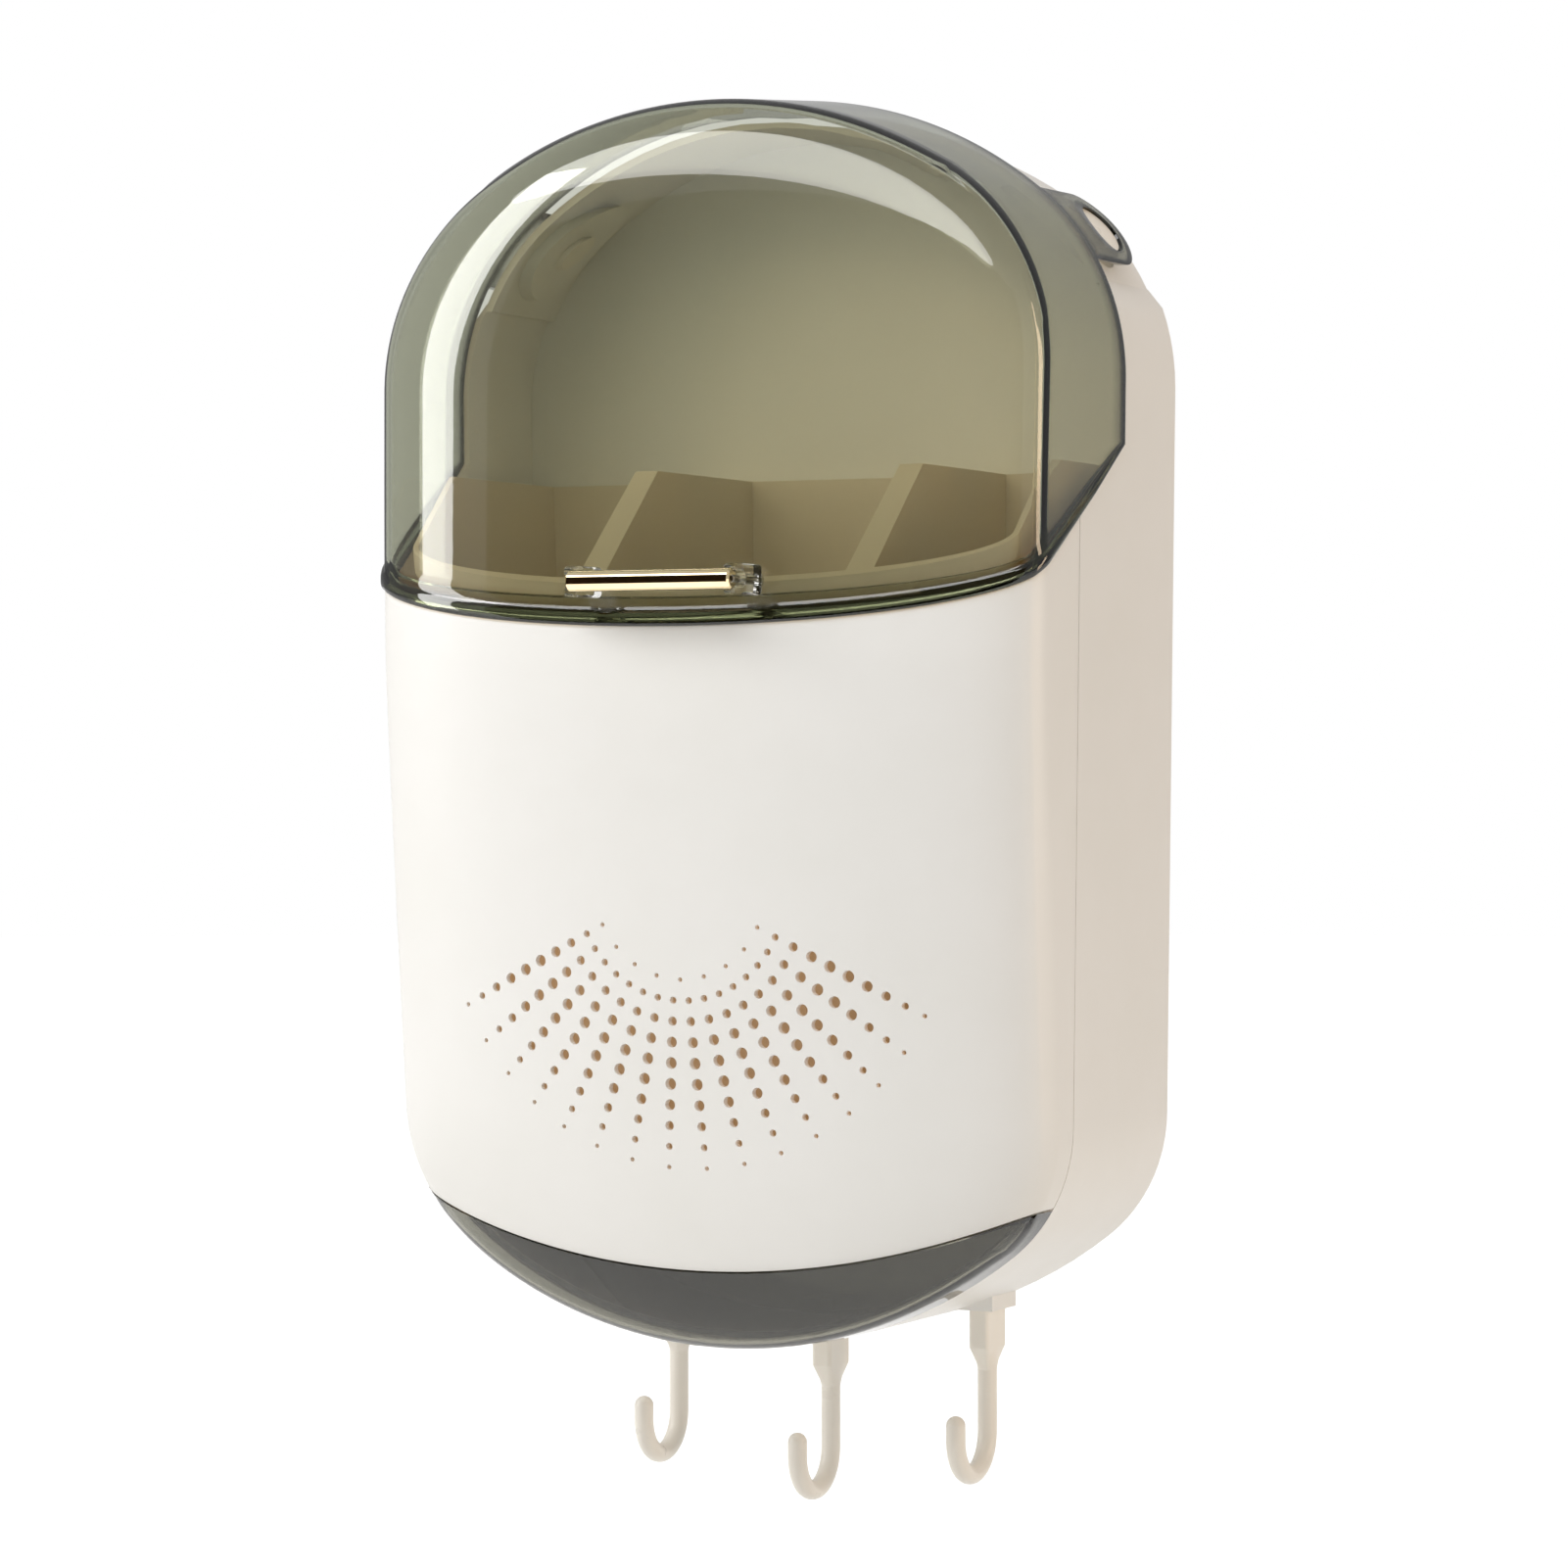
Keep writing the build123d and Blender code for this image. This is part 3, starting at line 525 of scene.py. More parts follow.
def ear_border(steps):
    """Outline of an ear as (y, height) and the angle of each point's partner on the bore."""
    neck = LID_REAR_DEPTH - HINGE_DEPTH
    border = []
    for i in range(EAR_ROUND_STEPS):
        angle = math.radians(-90 + 180 * i / EAR_ROUND_STEPS)
        y = -HINGE_DEPTH + EAR_RADIUS * math.cos(angle)
        border.append((y, HINGE_HEIGHT + EAR_RADIUS * math.sin(angle), angle))
    for i in range(EAR_SIDE_STEPS):
        share = i / EAR_SIDE_STEPS
        border.append((-HINGE_DEPTH - neck * share, EAR_HIGH, math.radians(90 + EAR_SIDE_TURN * share)))
    for i in range(steps):
        share = i / steps
        height = EAR_HIGH + (EAR_LOW - EAR_HIGH) * share
        angle = math.radians(90 + EAR_SIDE_TURN + (180 - 2 * EAR_SIDE_TURN) * share)
        border.append((-LID_REAR_DEPTH, height, angle))
    for i in range(EAR_SIDE_STEPS + 1):
        share = i / EAR_SIDE_STEPS
        angle = math.radians(270 - EAR_SIDE_TURN + EAR_SIDE_TURN * share)
        border.append((-LID_REAR_DEPTH + neck * share, EAR_LOW, angle))
    return border


def ear_rings(side, inset):
    """Rings of points from the ear's border to its bore, on the lid's skin."""
    rings = []
    for share in EAR_RING_SHARES:
        ring = []
        for y, height, angle in ear_border(EAR_STEPS):
            bore_y = -HINGE_DEPTH + EAR_BORE * math.cos(angle)
            bore_height = HINGE_HEIGHT + EAR_BORE * math.sin(angle)
            py = y + (bore_y - y) * share
            ph = height + (bore_height - height) * share
            ring.append(Vector((side * wall_x(ph, py, inset), py, ph)))
        rings.append(ring)
    return rings


def add_ear(bm, side):
    """Adds one ear: two skins, its bore and its rim, open where it meets the lid."""
    outer = add_grid(bm, ear_rings(side, 0.0))
    inner = add_grid(bm, ear_rings(side, LID_WALL))
    add_rim(bm, outer[-1], inner[-1])
    first = EAR_ROUND_STEPS + EAR_SIDE_STEPS
    for i in range(len(outer[0]) - 1):
        if not first <= i < first + EAR_STEPS:
            bm.faces.new((outer[0][i], outer[0][i + 1], inner[0][i + 1], inner[0][i]))


print("points round an ear:", len(ear_border(EAR_STEPS)))


# %% Weave the lid
def make_lid():
    """The whole lid as one closed mesh."""
    bm = bmesh.new()
    right_outer = lid_lines(0.0, outer_bead, LID_EDGE_RADIUS)
    right_inner = lid_lines(LID_WALL, inner_bead, LID_INNER_RADIUS)
    first_ear = LOW_LINES + LOW_ARCH_LINES
    for side in (1, -1):
        turned = (lambda line: line) if side > 0 else mirror_line
        outer = add_grid(bm, [turned(line) for line in right_outer])
        inner = add_grid(bm, [turned(line) for line in right_inner])
        add_rim(bm, outer[0], inner[0])
        for i in range(len(outer) - 1):
            if not first_ear <= i < first_ear + EAR_STEPS:
                bm.faces.new((outer[i][0], outer[i + 1][0], inner[i + 1][0], inner[i][0]))
        add_ear(bm, side)
    return finish_mesh("smoked_lid", bm)


lid = make_lid()

# %% [markdown]
# ## Painted shade at the free edges
# In a clear smoked moulding the free edges look darkest, because the eye looks into the depth of the wall
# there.  The mesh notes where those edges are: a point attribute is one number for each point, which a
# material can read.  It is 1 at an edge, less in the bead and the ears, and 0 over the rest of the lid.
# The lid's material blends in that much of a near-black colour: painted shade for the light that runs
# out at the edges.

# %% Round the lid's edges, mark them and let the lid stand for its CAD node
# Shares of painted shade: all of it at the free edges, a little in the bead and the ears.
DARK_EDGE = 1.0
DARK_LIP = 1.5
BEAD_SHADE = 0.3
BEAD_MARGIN = 0.2


def ear_inward(y, height):
    """How far a point of an ear lies in from the ear's border or its bore."""
    off_border = EAR_RADIUS - math.hypot(max(y + HINGE_DEPTH, 0.0), height - HINGE_HEIGHT)
    off_bore = math.hypot(y + HINGE_DEPTH, height - HINGE_HEIGHT) - EAR_BORE
    return min(off_border, off_bore)


def rim_shade(y, height):
    """How much painted shade a point of the lid gets: all at the free edges, a little in bead and ears."""
    rise = height - split_height(y) - SPLIT_GAP
    inward = -LID_REAR_DEPTH - y
    if inward < -DARK_EDGE:
        inward = ear_inward(y, height)
    if rise < DARK_LIP or inward < DARK_EDGE:
        return 1.0
    if rise < LID_BEAD_HEIGHT - BEAD_MARGIN or inward < LID_BEAD_HEIGHT + DARK_EDGE:
        return BEAD_SHADE
    return 0.0


def mark_rim(piece):
    """Writes the painted shade of each point as the attribute that the lid's material reads."""
    mask = piece.data.attributes.new("rim", "FLOAT", "POINT")
    for index, point in enumerate(piece.data.vertices):
        mask.data[index].value = rim_shade(point.co.y / MM, point.co.z / MM + SCREW_HEIGHT)
    marked = sum(1 for entry in mask.data if entry.value > 0)
    print(marked, "of", len(piece.data.vertices), "points lie on the rim")


soften_edges(lid, width=0.45)
mark_rim(lid)
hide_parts("flip_lid")
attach(lid, "lid")

# %% [markdown]
# ## The front cover
# The cover is woven in the same way.  Its lines change from the slope of the split at the top to the
# curve of the tray's edge at the bottom.

# %% Weave the cover
COVER_EDGE_RADIUS = 2.8
COVER_INNER_RADIUS = 1.3
COVER_COUNTS = (6, 8, 44)
COVER_LINES = 72


def cover_lines(inset, radius):
    """The lines of one skin of the cover's right half, from the split down to the tray."""
    lines = []
    for i in range(COVER_LINES + 1):
        share = i / COVER_LINES

        def height_at(x, y, share=share):
            low = tray_edge(x) + TRAY_GAP
            return split_height(y) + (low - split_height(y)) * share

        lines.append(level_line(height_at, lambda y: inset, -SEAM_DEPTH - SEAM_GAP, radius, COVER_COUNTS))
    return lines


def make_cover():
    """The cover before its vents are punched."""
    bm = bmesh.new()
    right_outer = cover_lines(0.0, COVER_EDGE_RADIUS)
    right_inner = cover_lines(COVER_WALL, COVER_INNER_RADIUS)
    for turned in ((lambda line: line), mirror_line):
        outer = add_grid(bm, [turned(line) for line in right_outer])
        inner = add_grid(bm, [turned(line) for line in right_inner])
        add_rim(bm, outer[0], inner[0])
        add_rim(bm, outer[-1], inner[-1])
        add_rim(bm, [row[0] for row in outer], [row[0] for row in inner])
    return finish_mesh("vented_cover", bm)


cover = make_cover()
soften_edges(cover, width=0.35)

# %% [markdown]
# ## The vents
# The vents are the cover's finest work: a fan of round holes on rings and spokes that swell towards the
# middle rings.  Holes could be cut one by one, but a fan follows a rule, so Geometry Nodes make it.  Each
# vent is a point with an index, and its place follows from that number alone.  The innermost ring has
# fewer vents than the others, so the sums first tell which ring an index falls in and on which spoke it
# stands.  The spoke becomes an angle, the ring a radius and, through half a sine wave, a width.  A punch
# is put on every point, and a boolean node drives all the punches through the wall at once.


# %% One helper that adds a node
def add(tree, kind, inputs=None, **settings):
    """Adds a node with its settings.  An input is a value, an output, or a node for its first output."""
    node = tree.nodes.new(kind)
    for key, value in settings.items():
        setattr(node, key, value)
    for key, value in (inputs or {}).items():
        if isinstance(value, bpy.types.Node):
            value = value.outputs[0]
        if isinstance(value, bpy.types.NodeSocket):
            tree.links.new(value, node.inputs[key])
        else:
            node.inputs[key].default_value = value
    return node


print("every node comes from the helper", add.__name__)

# %% Sizes and sums of the vents
VENT_SIZES = {
    "Centre Height": (129.0 - SCREW_HEIGHT) * MM,
    "Inner Radius": 26.2 * MM,
    "Ring Pitch": 5.7 * MM,
    "Small Hole": 1.3 * MM,
    "Large Hole": 3.3 * MM,
    "Spread": math.radians(126.8),
    "Rings": 10,
    "Spokes": 16,
    "Inner Spokes": 9,
}
# One row is one node: the name of its result, its operation, and the names or numbers that go in.
VENT_SUMS = [
    ("outer rings", "SUBTRACT", "Rings", 1.0),
    ("outer vents", "MULTIPLY", "outer rings", "Spokes"),
    ("vents", "ADD", "outer vents", "Inner Spokes"),
    ("inner limit", "SUBTRACT", "Inner Spokes", 0.5),
    ("is outer", "GREATER_THAN", "index", "inner limit"),
    ("later", "SUBTRACT", "index", "Inner Spokes"),
    ("rows passed", "DIVIDE", "later", "Spokes"),
    ("whole rows", "FLOOR", "rows passed"),
    ("outer ring", "ADD", "whole rows", 1.0),
    ("ring", "MULTIPLY", "outer ring", "is outer"),
    ("outer spoke", "FLOORED_MODULO", "later", "Spokes"),
    ("spoke", "SWITCH", "is outer", "index", "outer spoke"),
    ("last inner", "SUBTRACT", "Inner Spokes", 1.0),
    ("last outer", "SUBTRACT", "Spokes", 1.0),
    ("last spoke", "SWITCH", "is outer", "last inner", "last outer"),
    ("place in row", "DIVIDE", "spoke", "last spoke"),
    ("off the middle", "SUBTRACT", "place in row", 0.5),
    ("turn", "MULTIPLY", "off the middle", "Spread"),
    ("way out", "MULTIPLY", "ring", "Ring Pitch"),
    ("radius", "ADD", "way out", "Inner Radius"),
    ("sine", "SINE", "turn"),
    ("cosine", "COSINE", "turn"),
    ("x", "MULTIPLY", "radius", "sine"),
    ("drop", "MULTIPLY", "radius", "cosine"),
    ("z", "SUBTRACT", "Centre Height", "drop"),
    ("share out", "DIVIDE", "ring", "outer rings"),
    ("half wave", "MULTIPLY", "share out", math.pi),
    ("swell", "SINE", "half wave"),
    ("growth", "SUBTRACT", "Large Hole", "Small Hole"),
    ("extra width", "MULTIPLY", "swell", "growth"),
    ("width", "ADD", "extra width", "Small Hole"),
]
print("the fan takes", len(VENT_SIZES), "sizes and", len(VENT_SUMS), "sums")

# %% The fan of vents as a Geometry Nodes tree
PUNCH_SIDES = 20
PUNCH_LENGTH = 0.05
PUNCH_PLACE = -0.1
VENT_SHARP_ANGLE = 40.0


def vent_tree():
    """Punches a fan of holes through the geometry that comes in."""
    tree = bpy.data.node_groups.new("punch vent fan", "GeometryNodeTree")
    face = tree.interface
    face.new_socket("Geometry", in_out="INPUT", socket_type="NodeSocketGeometry")
    for name, value in VENT_SIZES.items():
        kind = "NodeSocketInt" if isinstance(value, int) else "NodeSocketFloat"
        face.new_socket(name, in_out="INPUT", socket_type=kind)
    face.new_socket("Material", in_out="INPUT", socket_type="NodeSocketMaterial")
    face.new_socket("Geometry", in_out="OUTPUT", socket_type="NodeSocketGeometry")
    entry = add(tree, "NodeGroupInput").outputs
    known = {name: entry[name] for name in VENT_SIZES}
    known["index"] = add(tree, "GeometryNodeInputIndex")
    for name, operation, *terms in VENT_SUMS:
        terms = [known.get(term, term) for term in terms]
        if operation == "SWITCH":
            choice = dict(zip(("Switch", "False", "True"), terms))
            known[name] = add(tree, "GeometryNodeSwitch", choice, input_type="FLOAT")
        else:
            known[name] = add(tree, "ShaderNodeMath", dict(enumerate(terms)), operation=operation)
    place = add(tree, "ShaderNodeCombineXYZ", {"X": known["x"], "Y": PUNCH_PLACE, "Z": known["z"]})
    size = add(tree, "ShaderNodeCombineXYZ", {"X": known["width"], "Y": 1.0, "Z": known["width"]})
    line = add(tree, "GeometryNodeMeshLine", {"Count": known["vents"]})
    spots = add(tree, "GeometryNodeSetPosition", {"Geometry": line, "Position": place})
    # A radius of a half makes the punch one wide, so that a vent's width is simply its scale.
    rod = {"Vertices": PUNCH_SIDES, "Radius": 0.5, "Depth": PUNCH_LENGTH}
    punch = add(tree, "GeometryNodeMeshCylinder", rod)
    turned = add(tree, "GeometryNodeTransform", {"Geometry": punch, "Rotation": (math.pi / 2, 0, 0)})
    fan = {"Points": spots, "Instance": turned, "Scale": size}
    punches = add(tree, "GeometryNodeInstanceOnPoints", fan)
    solid = add(tree, "GeometryNodeRealizeInstances", {"Geometry": punches})
    pair = {"Mesh 1": entry["Geometry"], "Mesh 2": solid}
    punched = add(tree, "GeometryNodeMeshBoolean", pair, operation="DIFFERENCE", solver="EXACT")
    skin = {"Geometry": punched, "Material": entry["Material"]}
    add(tree, "NodeGroupOutput", {0: add(tree, "GeometryNodeSetMaterial", skin)})
    return tree


def run_tree(piece, tree, values):
    """Runs a tree on a piece with its inputs set by identifier, and keeps the result as a mesh."""
    modifier = piece.modifiers.new(tree.name, "NODES")
    modifier.node_group = tree
    for item in tree.interface.items_tree:
        if item.in_out == "INPUT" and item.name in values:
            modifier[item.identifier] = values[item.name]
    bake_modifiers(piece)


run_tree(cover, vent_tree(), VENT_SIZES)
smooth(cover.data, VENT_SHARP_ANGLE)
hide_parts("front_cover")
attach(cover, "housing")
print("vented cover:", len(cover.data.polygons), "faces,", count_open_edges(cover.data), "open edges")

# %% [markdown]
# ## The drip tray
# The tray is a small boat.  In front it closes the belly of the housing, and behind it runs back as a
# drawer.  Its lines lie lengthwise: up the back, along the bottom, round the front edge and up the face
# to the curved rim, each at its own share of the width.

# %% Where the tray meets the outline
TRAY_HALVINGS = 40


def tray_tip(y, inset):
    """Where the tray's edge meets the outline, by halving."""
    near = CORNER_CENTRE
    far = arcs(y, inset)["low_half"]
    for _ in range(TRAY_HALVINGS):
        middle = (near + far) / 2
        if under_height(middle, y, inset) < tray_edge(middle):
            near = middle
        else:
            far = middle
    return near


print("the tray's edge runs", round(tray_tip(-EDGE_DEPTH, 0), 1), "mm out to each side")

# %% Weave the tray
TRAY_COLUMNS = 72
TRAY_EDGE_ROUND = 2.6
TRAY_INNER_ROUND = 1.6
ROUND_LIMIT = 0.45
BACK_POINTS = 6
DRAWER_POINTS = 10
FRONT_POINTS = 6
ROUND_STEPS = 6
FACE_POINTS = 12


def spread(first, last, count):
    """Evenly spaced values, both ends included."""
    return [first + (last - first) * i / (count - 1) for i in range(count)]


def tray_line(share, inset, radius):
    """One lengthwise line of a skin of the tray, at a share of its width."""
    line = []
    drawer_inset = REAR_WALL + TRAY_GAP + inset
    back_y = -TRAY_BACK_DEPTH - inset
    seam_y = -SEAM_DEPTH - SEAM_GAP - inset
    x = share * tray_tip(-SEAM_DEPTH, drawer_inset)
    low = under_height(x, -SEAM_DEPTH, drawer_inset)
    line += [Vector((x, back_y, h)) for h in spread(tray_edge(x), low, BACK_POINTS)]
    line += [Vector((x, y, low)) for y in spread(back_y, seam_y, DRAWER_POINTS)[1:]]

    def bottom(y):
        px = share * tray_tip(y, inset)
        return Vector((px, y, under_height(px, y, inset)))

    corner_y = settle(-EDGE_DEPTH, lambda y: face_y(bottom(y).x, bottom(y).z, inset))
    corner = bottom(corner_y)
    top = tray_edge(corner.x)
    near = min(radius, ROUND_LIMIT * (seam_y - corner_y))
    up = min(near, ROUND_LIMIT * max(top - corner.z, 0.0))
    behind = bottom(corner_y + near)
    front = Vector((corner.x, face_y(corner.x, corner.z + up, inset), corner.z + up))
    line += [bottom(y) for y in spread(seam_y, corner_y + near, FRONT_POINTS)]
    line += round_corner(behind, corner, front, ROUND_STEPS)[1:] + [front]
    for height in spread(corner.z + up, top, FACE_POINTS)[1:]:
        line.append(Vector((corner.x, face_y(corner.x, height, inset), height)))
    return line


def make_tray():
    """The tray as one closed mesh."""
    bm = bmesh.new()
    shares = [math.sin(math.pi / 2 * v) for v in spread(-1.0, 1.0, TRAY_COLUMNS + 1)]
    outer = add_grid(bm, [tray_line(s, 0.0, TRAY_EDGE_ROUND) for s in shares])
    inner = add_grid(bm, [tray_line(s, TRAY_WALL, TRAY_INNER_ROUND) for s in shares])
    for row in (0, -1):
        add_rim(bm, [line[row] for line in outer], [line[row] for line in inner])
        add_rim(bm, outer[row], inner[row])
    return finish_mesh("smoked_tray", bm)


tray = make_tray()
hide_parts("drip_tray")
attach(tray, "tray")

# %% [markdown]
# ## Pieces that keep their CAD form
# The rear shell, the liner, the pegs, the handle and the hooks have the right shape already.  Moulded
# and turned parts never have knife edges, though, so each gets a copy that is merged from its loose
# triangles and joined to clean flats.  All but the bar and the hooks are then softened by a small radius
# that catches the light.

# %% Copy and soften CAD pieces
FLAT_LIMIT = 0.4
COPY_SHARP_ANGLE = 28.0
BEVEL_ANGLE = 35.0


def dressed_copy(node, name, body, width):
    """A merged copy of a CAD node with edges softened by a width, which stands for the node."""
    bm = bmesh.new()
    bm.from_mesh(nodes[node].data)
    bmesh.ops.remove_doubles(bm, verts=bm.verts, dist=WELD_GAP * MM)
    bmesh.ops.dissolve_limit(bm, angle_limit=math.radians(FLAT_LIMIT), verts=bm.verts, edges=bm.edges)
    plain = bpy.data.meshes.new(name)
    bm.verts.ensure_lookup_table()
    points = [v.co[:] for v in bm.verts]
    plain.from_pydata(points, [], [[v.index for v in f.verts] for f in bm.faces])
    bm.free()
    smooth(plain, COPY_SHARP_ANGLE)
    piece = put_in_scene(name, plain)
    if width:
        soften_edges(piece, width, BEVEL_ANGLE)
    level_flats(piece)
    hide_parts(node)
    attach(piece, body)
    print(name, len(piece.data.polygons), "faces")
    return piece


def dressed_set(node, name, ends, body, width):
    """Dressed copies of nodes whose names differ only in their ends."""
    return [dressed_copy(node + end, name + end, body, width) for end in ends]


shell = dressed_copy("rear_shell", "rear_housing", "housing", width=0.5)
liner = dressed_copy("cell_liner", "divided_liner", "liner", width=0.6)
pegs = dressed_set("hinge_pin_", "peg_", ("left", "right"), "housing", width=0.3)
posts = dressed_set("handle_post_", "post_", ("left", "right"), "lid", width=0.25)
bar = dressed_copy("handle_bar", "gold_bar", "lid", width=0.0)
screws = dressed_copy("handle_screws", "screws", "lid", width=0.15)
hooks = dressed_set("hook_", "j_hook_", ("left", "middle", "right"), "housing", width=0.0)

# %% [markdown]
# ## Colour and scale
# Colours are written as the sRGB hex values that a colour chart gives, and one function turns them into
# the linear values that Blender works in.  A pattern's scale comes from a real size in millimetres.  All
# patterns read Object coordinates: every piece sits unturned at the origin, so they never slide.

# %% Colour, scale and the start of a material
def colour(code):
    """Linear RGBA from an sRGB hex code."""
    values = [int(code[i:i + 2], 16) / 255 for i in (1, 3, 5)]
    return [v / 12.92 if v <= 0.04045 else ((v + 0.055) / 1.055) ** 2.4 for v in values] + [1.0]


def per(size_mm):
    """Texture scale that repeats once in so many millimetres."""
    return 1.0 / (size_mm * MM)


def start_material(name):
    """An empty material with its output, and an output that gives Object coordinates."""
    material = bpy.data.materials.new(name)
    material.use_nodes = True
    tree = material.node_tree
    tree.nodes.clear()
    end = add(tree, "ShaderNodeOutputMaterial")
    place = add(tree, "ShaderNodeTexCoord").outputs["Object"]
    return material, tree, end, place


# Most of a noise's values lie between these two, so a Map Range node that starts from them uses it fully.
NOISE_MIDDLE = {"From Min": 0.3, "From Max": 0.7}
print("cream in linear light:", [round(v, 3) for v in colour("#F4F2EE")])

# %% [markdown]
# ## Cream and beige mouldings
# Opaque ABS and polypropylene are dielectrics: a coloured body under a faint clear reflection.  A steel
# mould that was spark-eroded prints its fine grain on them, which spreads each highlight wide.  A plain
# colour would look like paint, so the colour drifts slowly over the wall, the gloss has cloudy patches
# and the grain is a bump.  The true grain is near 0.1 mm, too fine to show from here, and is drawn eight
# to twelve times as coarse.  The cover is thin, and a share of lamp light goes through it: that is why
# its vents are warm inside instead of black.

# %% Opaque plastics
DRIFT_MM = 42.0
GLOSS_PATCH_MM = 7.0
GRAIN_DEPTH = 0.03


def pass_lamp_light(tree, shader, tint):
    """Lets a tinted share of the lamps' light through a surface, so what lies behind it is lit."""
    lamp_light = add(tree, "ShaderNodeBsdfTransparent", {"Color": colour(tint)})
    ray = add(tree, "ShaderNodeLightPath").outputs["Is Shadow Ray"]
    return add(tree, "ShaderNodeMixShader", {0: ray, 1: shader, 2: lamp_light})


def moulded_plastic(name, light, dark, rough, grain_mm, ior, let_through=None):
    """Moulded plastic: slow drifts of colour and a fine spark-eroded grain."""
    material, tree, end, place = start_material(name)
    drift = add(tree, "ShaderNodeTexNoise", {"Vector": place, "Scale": per(DRIFT_MM), "Detail": 3.0})
    share = add(tree, "ShaderNodeMapRange", {"Value": drift, **NOISE_MIDDLE})
    tones = {"Factor": share, 6: colour(light), 7: colour(dark)}
    tone = add(tree, "ShaderNodeMix", tones, data_type="RGBA")
    patches = add(tree, "ShaderNodeTexNoise", {"Vector": place, "Scale": per(GLOSS_PATCH_MM), "Detail": 3.0})
    fit = {"Value": patches, **NOISE_MIDDLE, "To Min": rough - 0.03, "To Max": rough + 0.04}
    grain = add(tree, "ShaderNodeTexNoise", {"Vector": place, "Scale": per(grain_mm), "Detail": 2.0})
    relief = {"Height": grain, "Strength": 0.12, "Distance": GRAIN_DEPTH * MM}
    shader = add(tree, "ShaderNodeBsdfPrincipled", {
        "Base Color": tone.outputs[2],
        "Roughness": add(tree, "ShaderNodeMapRange", fit),
        "IOR": ior,
        "Normal": add(tree, "ShaderNodeBump", relief),
    })
    surface = pass_lamp_light(tree, shader, let_through) if let_through else shader
    tree.links.new(surface.outputs[0], end.inputs["Surface"])
    return material


# Spark-eroded cream ABS: a soft matt white with a little warmth, for the rear housing.
cream_abs = moulded_plastic("cream ABS, fine spark-eroded", "#F4F2EE", "#F1EFEA", 0.40, 0.8, 1.53)
# The same ABS as a thin wall, which glows a warm tan inside its vents.
thin_cream_abs = moulded_plastic("cream ABS, thin wall", "#F4F2EE", "#F1EFEA", 0.40, 0.8, 1.53, "#D6C2AA")
# Polypropylene is waxy: duller and a shade darker, for the liner.
cream_pp = moulded_plastic("beige polypropylene, moulded", "#E6DBC8", "#E2D6C1", 0.45, 0.9, 1.49)
# A smoother mould leaves hooks and pegs a crisper sheen.  Their cream is a shade lighter than the
# housing's: painted light that brightens the hooks where they hang in shade below the housing.
hook_abs = moulded_plastic("cream ABS, glossy moulded", "#FAF5EB", "#F7F0E4", 0.30, 1.2, 1.53)
print("opaque plastics:", [m.name for m in (cream_abs, thin_cream_abs, cream_pp, hook_abs)])

# %% [markdown]
# ## See-through mouldings
# SAN and PMMA come from a polished mould, so their skins are nearly perfect mirrors and windows.  A
# tinted surface would shade every wall alike, but real smoke is in the body of the plastic: one wall looks
# pale, and a long way through it, as in a rim seen edge on, looks almost black.  So the smoke is a volume
# that absorbs light along its path, with its colour and density worked out for walls of 2 to 3 mm.  At
# free edges the light runs out sideways.  A path tracer would need many bounces for that, so the lid's rim
# attribute darkens the surface there, as painted shade.  Lamp light passes straight through, lightly
# tinted, because bent shadow rays would leave the inside dark and noisy.

# %% Clear and smoked plastics
HAZE_MM = 16.0
RIPPLE_MM = 26.0
RIPPLE_DEPTH = 0.05


def see_through_plastic(name, surface, rough, ior, lamp_tint, rim=None, soaked=None, density=0.0):
    """Clear moulded plastic with a faint flow ripple, and smoke in its body if it has a density."""
    material, tree, end, place = start_material(name)
    base = colour(surface)
    # A rim colour is painted shade, which the rim attribute blends in at the lid's free edges, bead and
    # ears.
    if rim:
        edge_shade_share = add(tree, "ShaderNodeAttribute", attribute_name="rim").outputs["Fac"]
        tones = {"Factor": edge_shade_share, 6: base, 7: colour(rim)}
        base = add(tree, "ShaderNodeMix", tones, data_type="RGBA").outputs[2]
    haze = add(tree, "ShaderNodeTexNoise", {"Vector": place, "Scale": per(HAZE_MM), "Detail": 3.0})
    ripple = add(tree, "ShaderNodeTexNoise", {"Vector": place, "Scale": per(RIPPLE_MM), "Detail": 1.0})
    relief = {"Height": ripple, "Strength": 0.05, "Distance": RIPPLE_DEPTH * MM}
    fit = {"Value": haze, **NOISE_MIDDLE, "To Min": rough, "To Max": rough + 0.02}
    shader = add(tree, "ShaderNodeBsdfPrincipled", {
        "Base Color": base,
        "Roughness": add(tree, "ShaderNodeMapRange", fit),
        "IOR": ior,
        "Transmission Weight": 1.0,
        "Normal": add(tree, "ShaderNodeBump", relief),
    })
    tree.links.new(pass_lamp_light(tree, shader, lamp_tint).outputs[0], end.inputs["Surface"])
    if density:
        smoke = add(tree, "ShaderNodeVolumeAbsorption", {"Color": colour(soaked), "Density": density})
        tree.links.new(smoke.outputs[0], end.inputs["Volume"])
    return material


# Smoked SAN: a bright, hard mirror over an olive-grey depth, with near-black painted shade at its edges.
smoked_san = see_through_plastic(
    "smoked SAN, polished mould", "#F6F6F3", 0.01, 1.57, "#E6D6BC",
    rim="#1A1B16", soaked="#838B48", density=265.0)
# The tray holds more smoke, so its two walls together look like dark glass.
smoked_tray_san = see_through_plastic(
    "dark smoked SAN, polished mould", "#ECECE6", 0.02, 1.57, "#F4F4F2",
    soaked="#837F60", density=430.0)
# PMMA without smoke: the posts show little but their edges and bright glints.
clear_pmma = see_through_plastic("clear PMMA, polished", "#F4F4F1", 0.0, 1.49, "#F4F4F2")
print("see-through plastics:", [m.name for m in (smoked_san, smoked_tray_san, clear_pmma)])

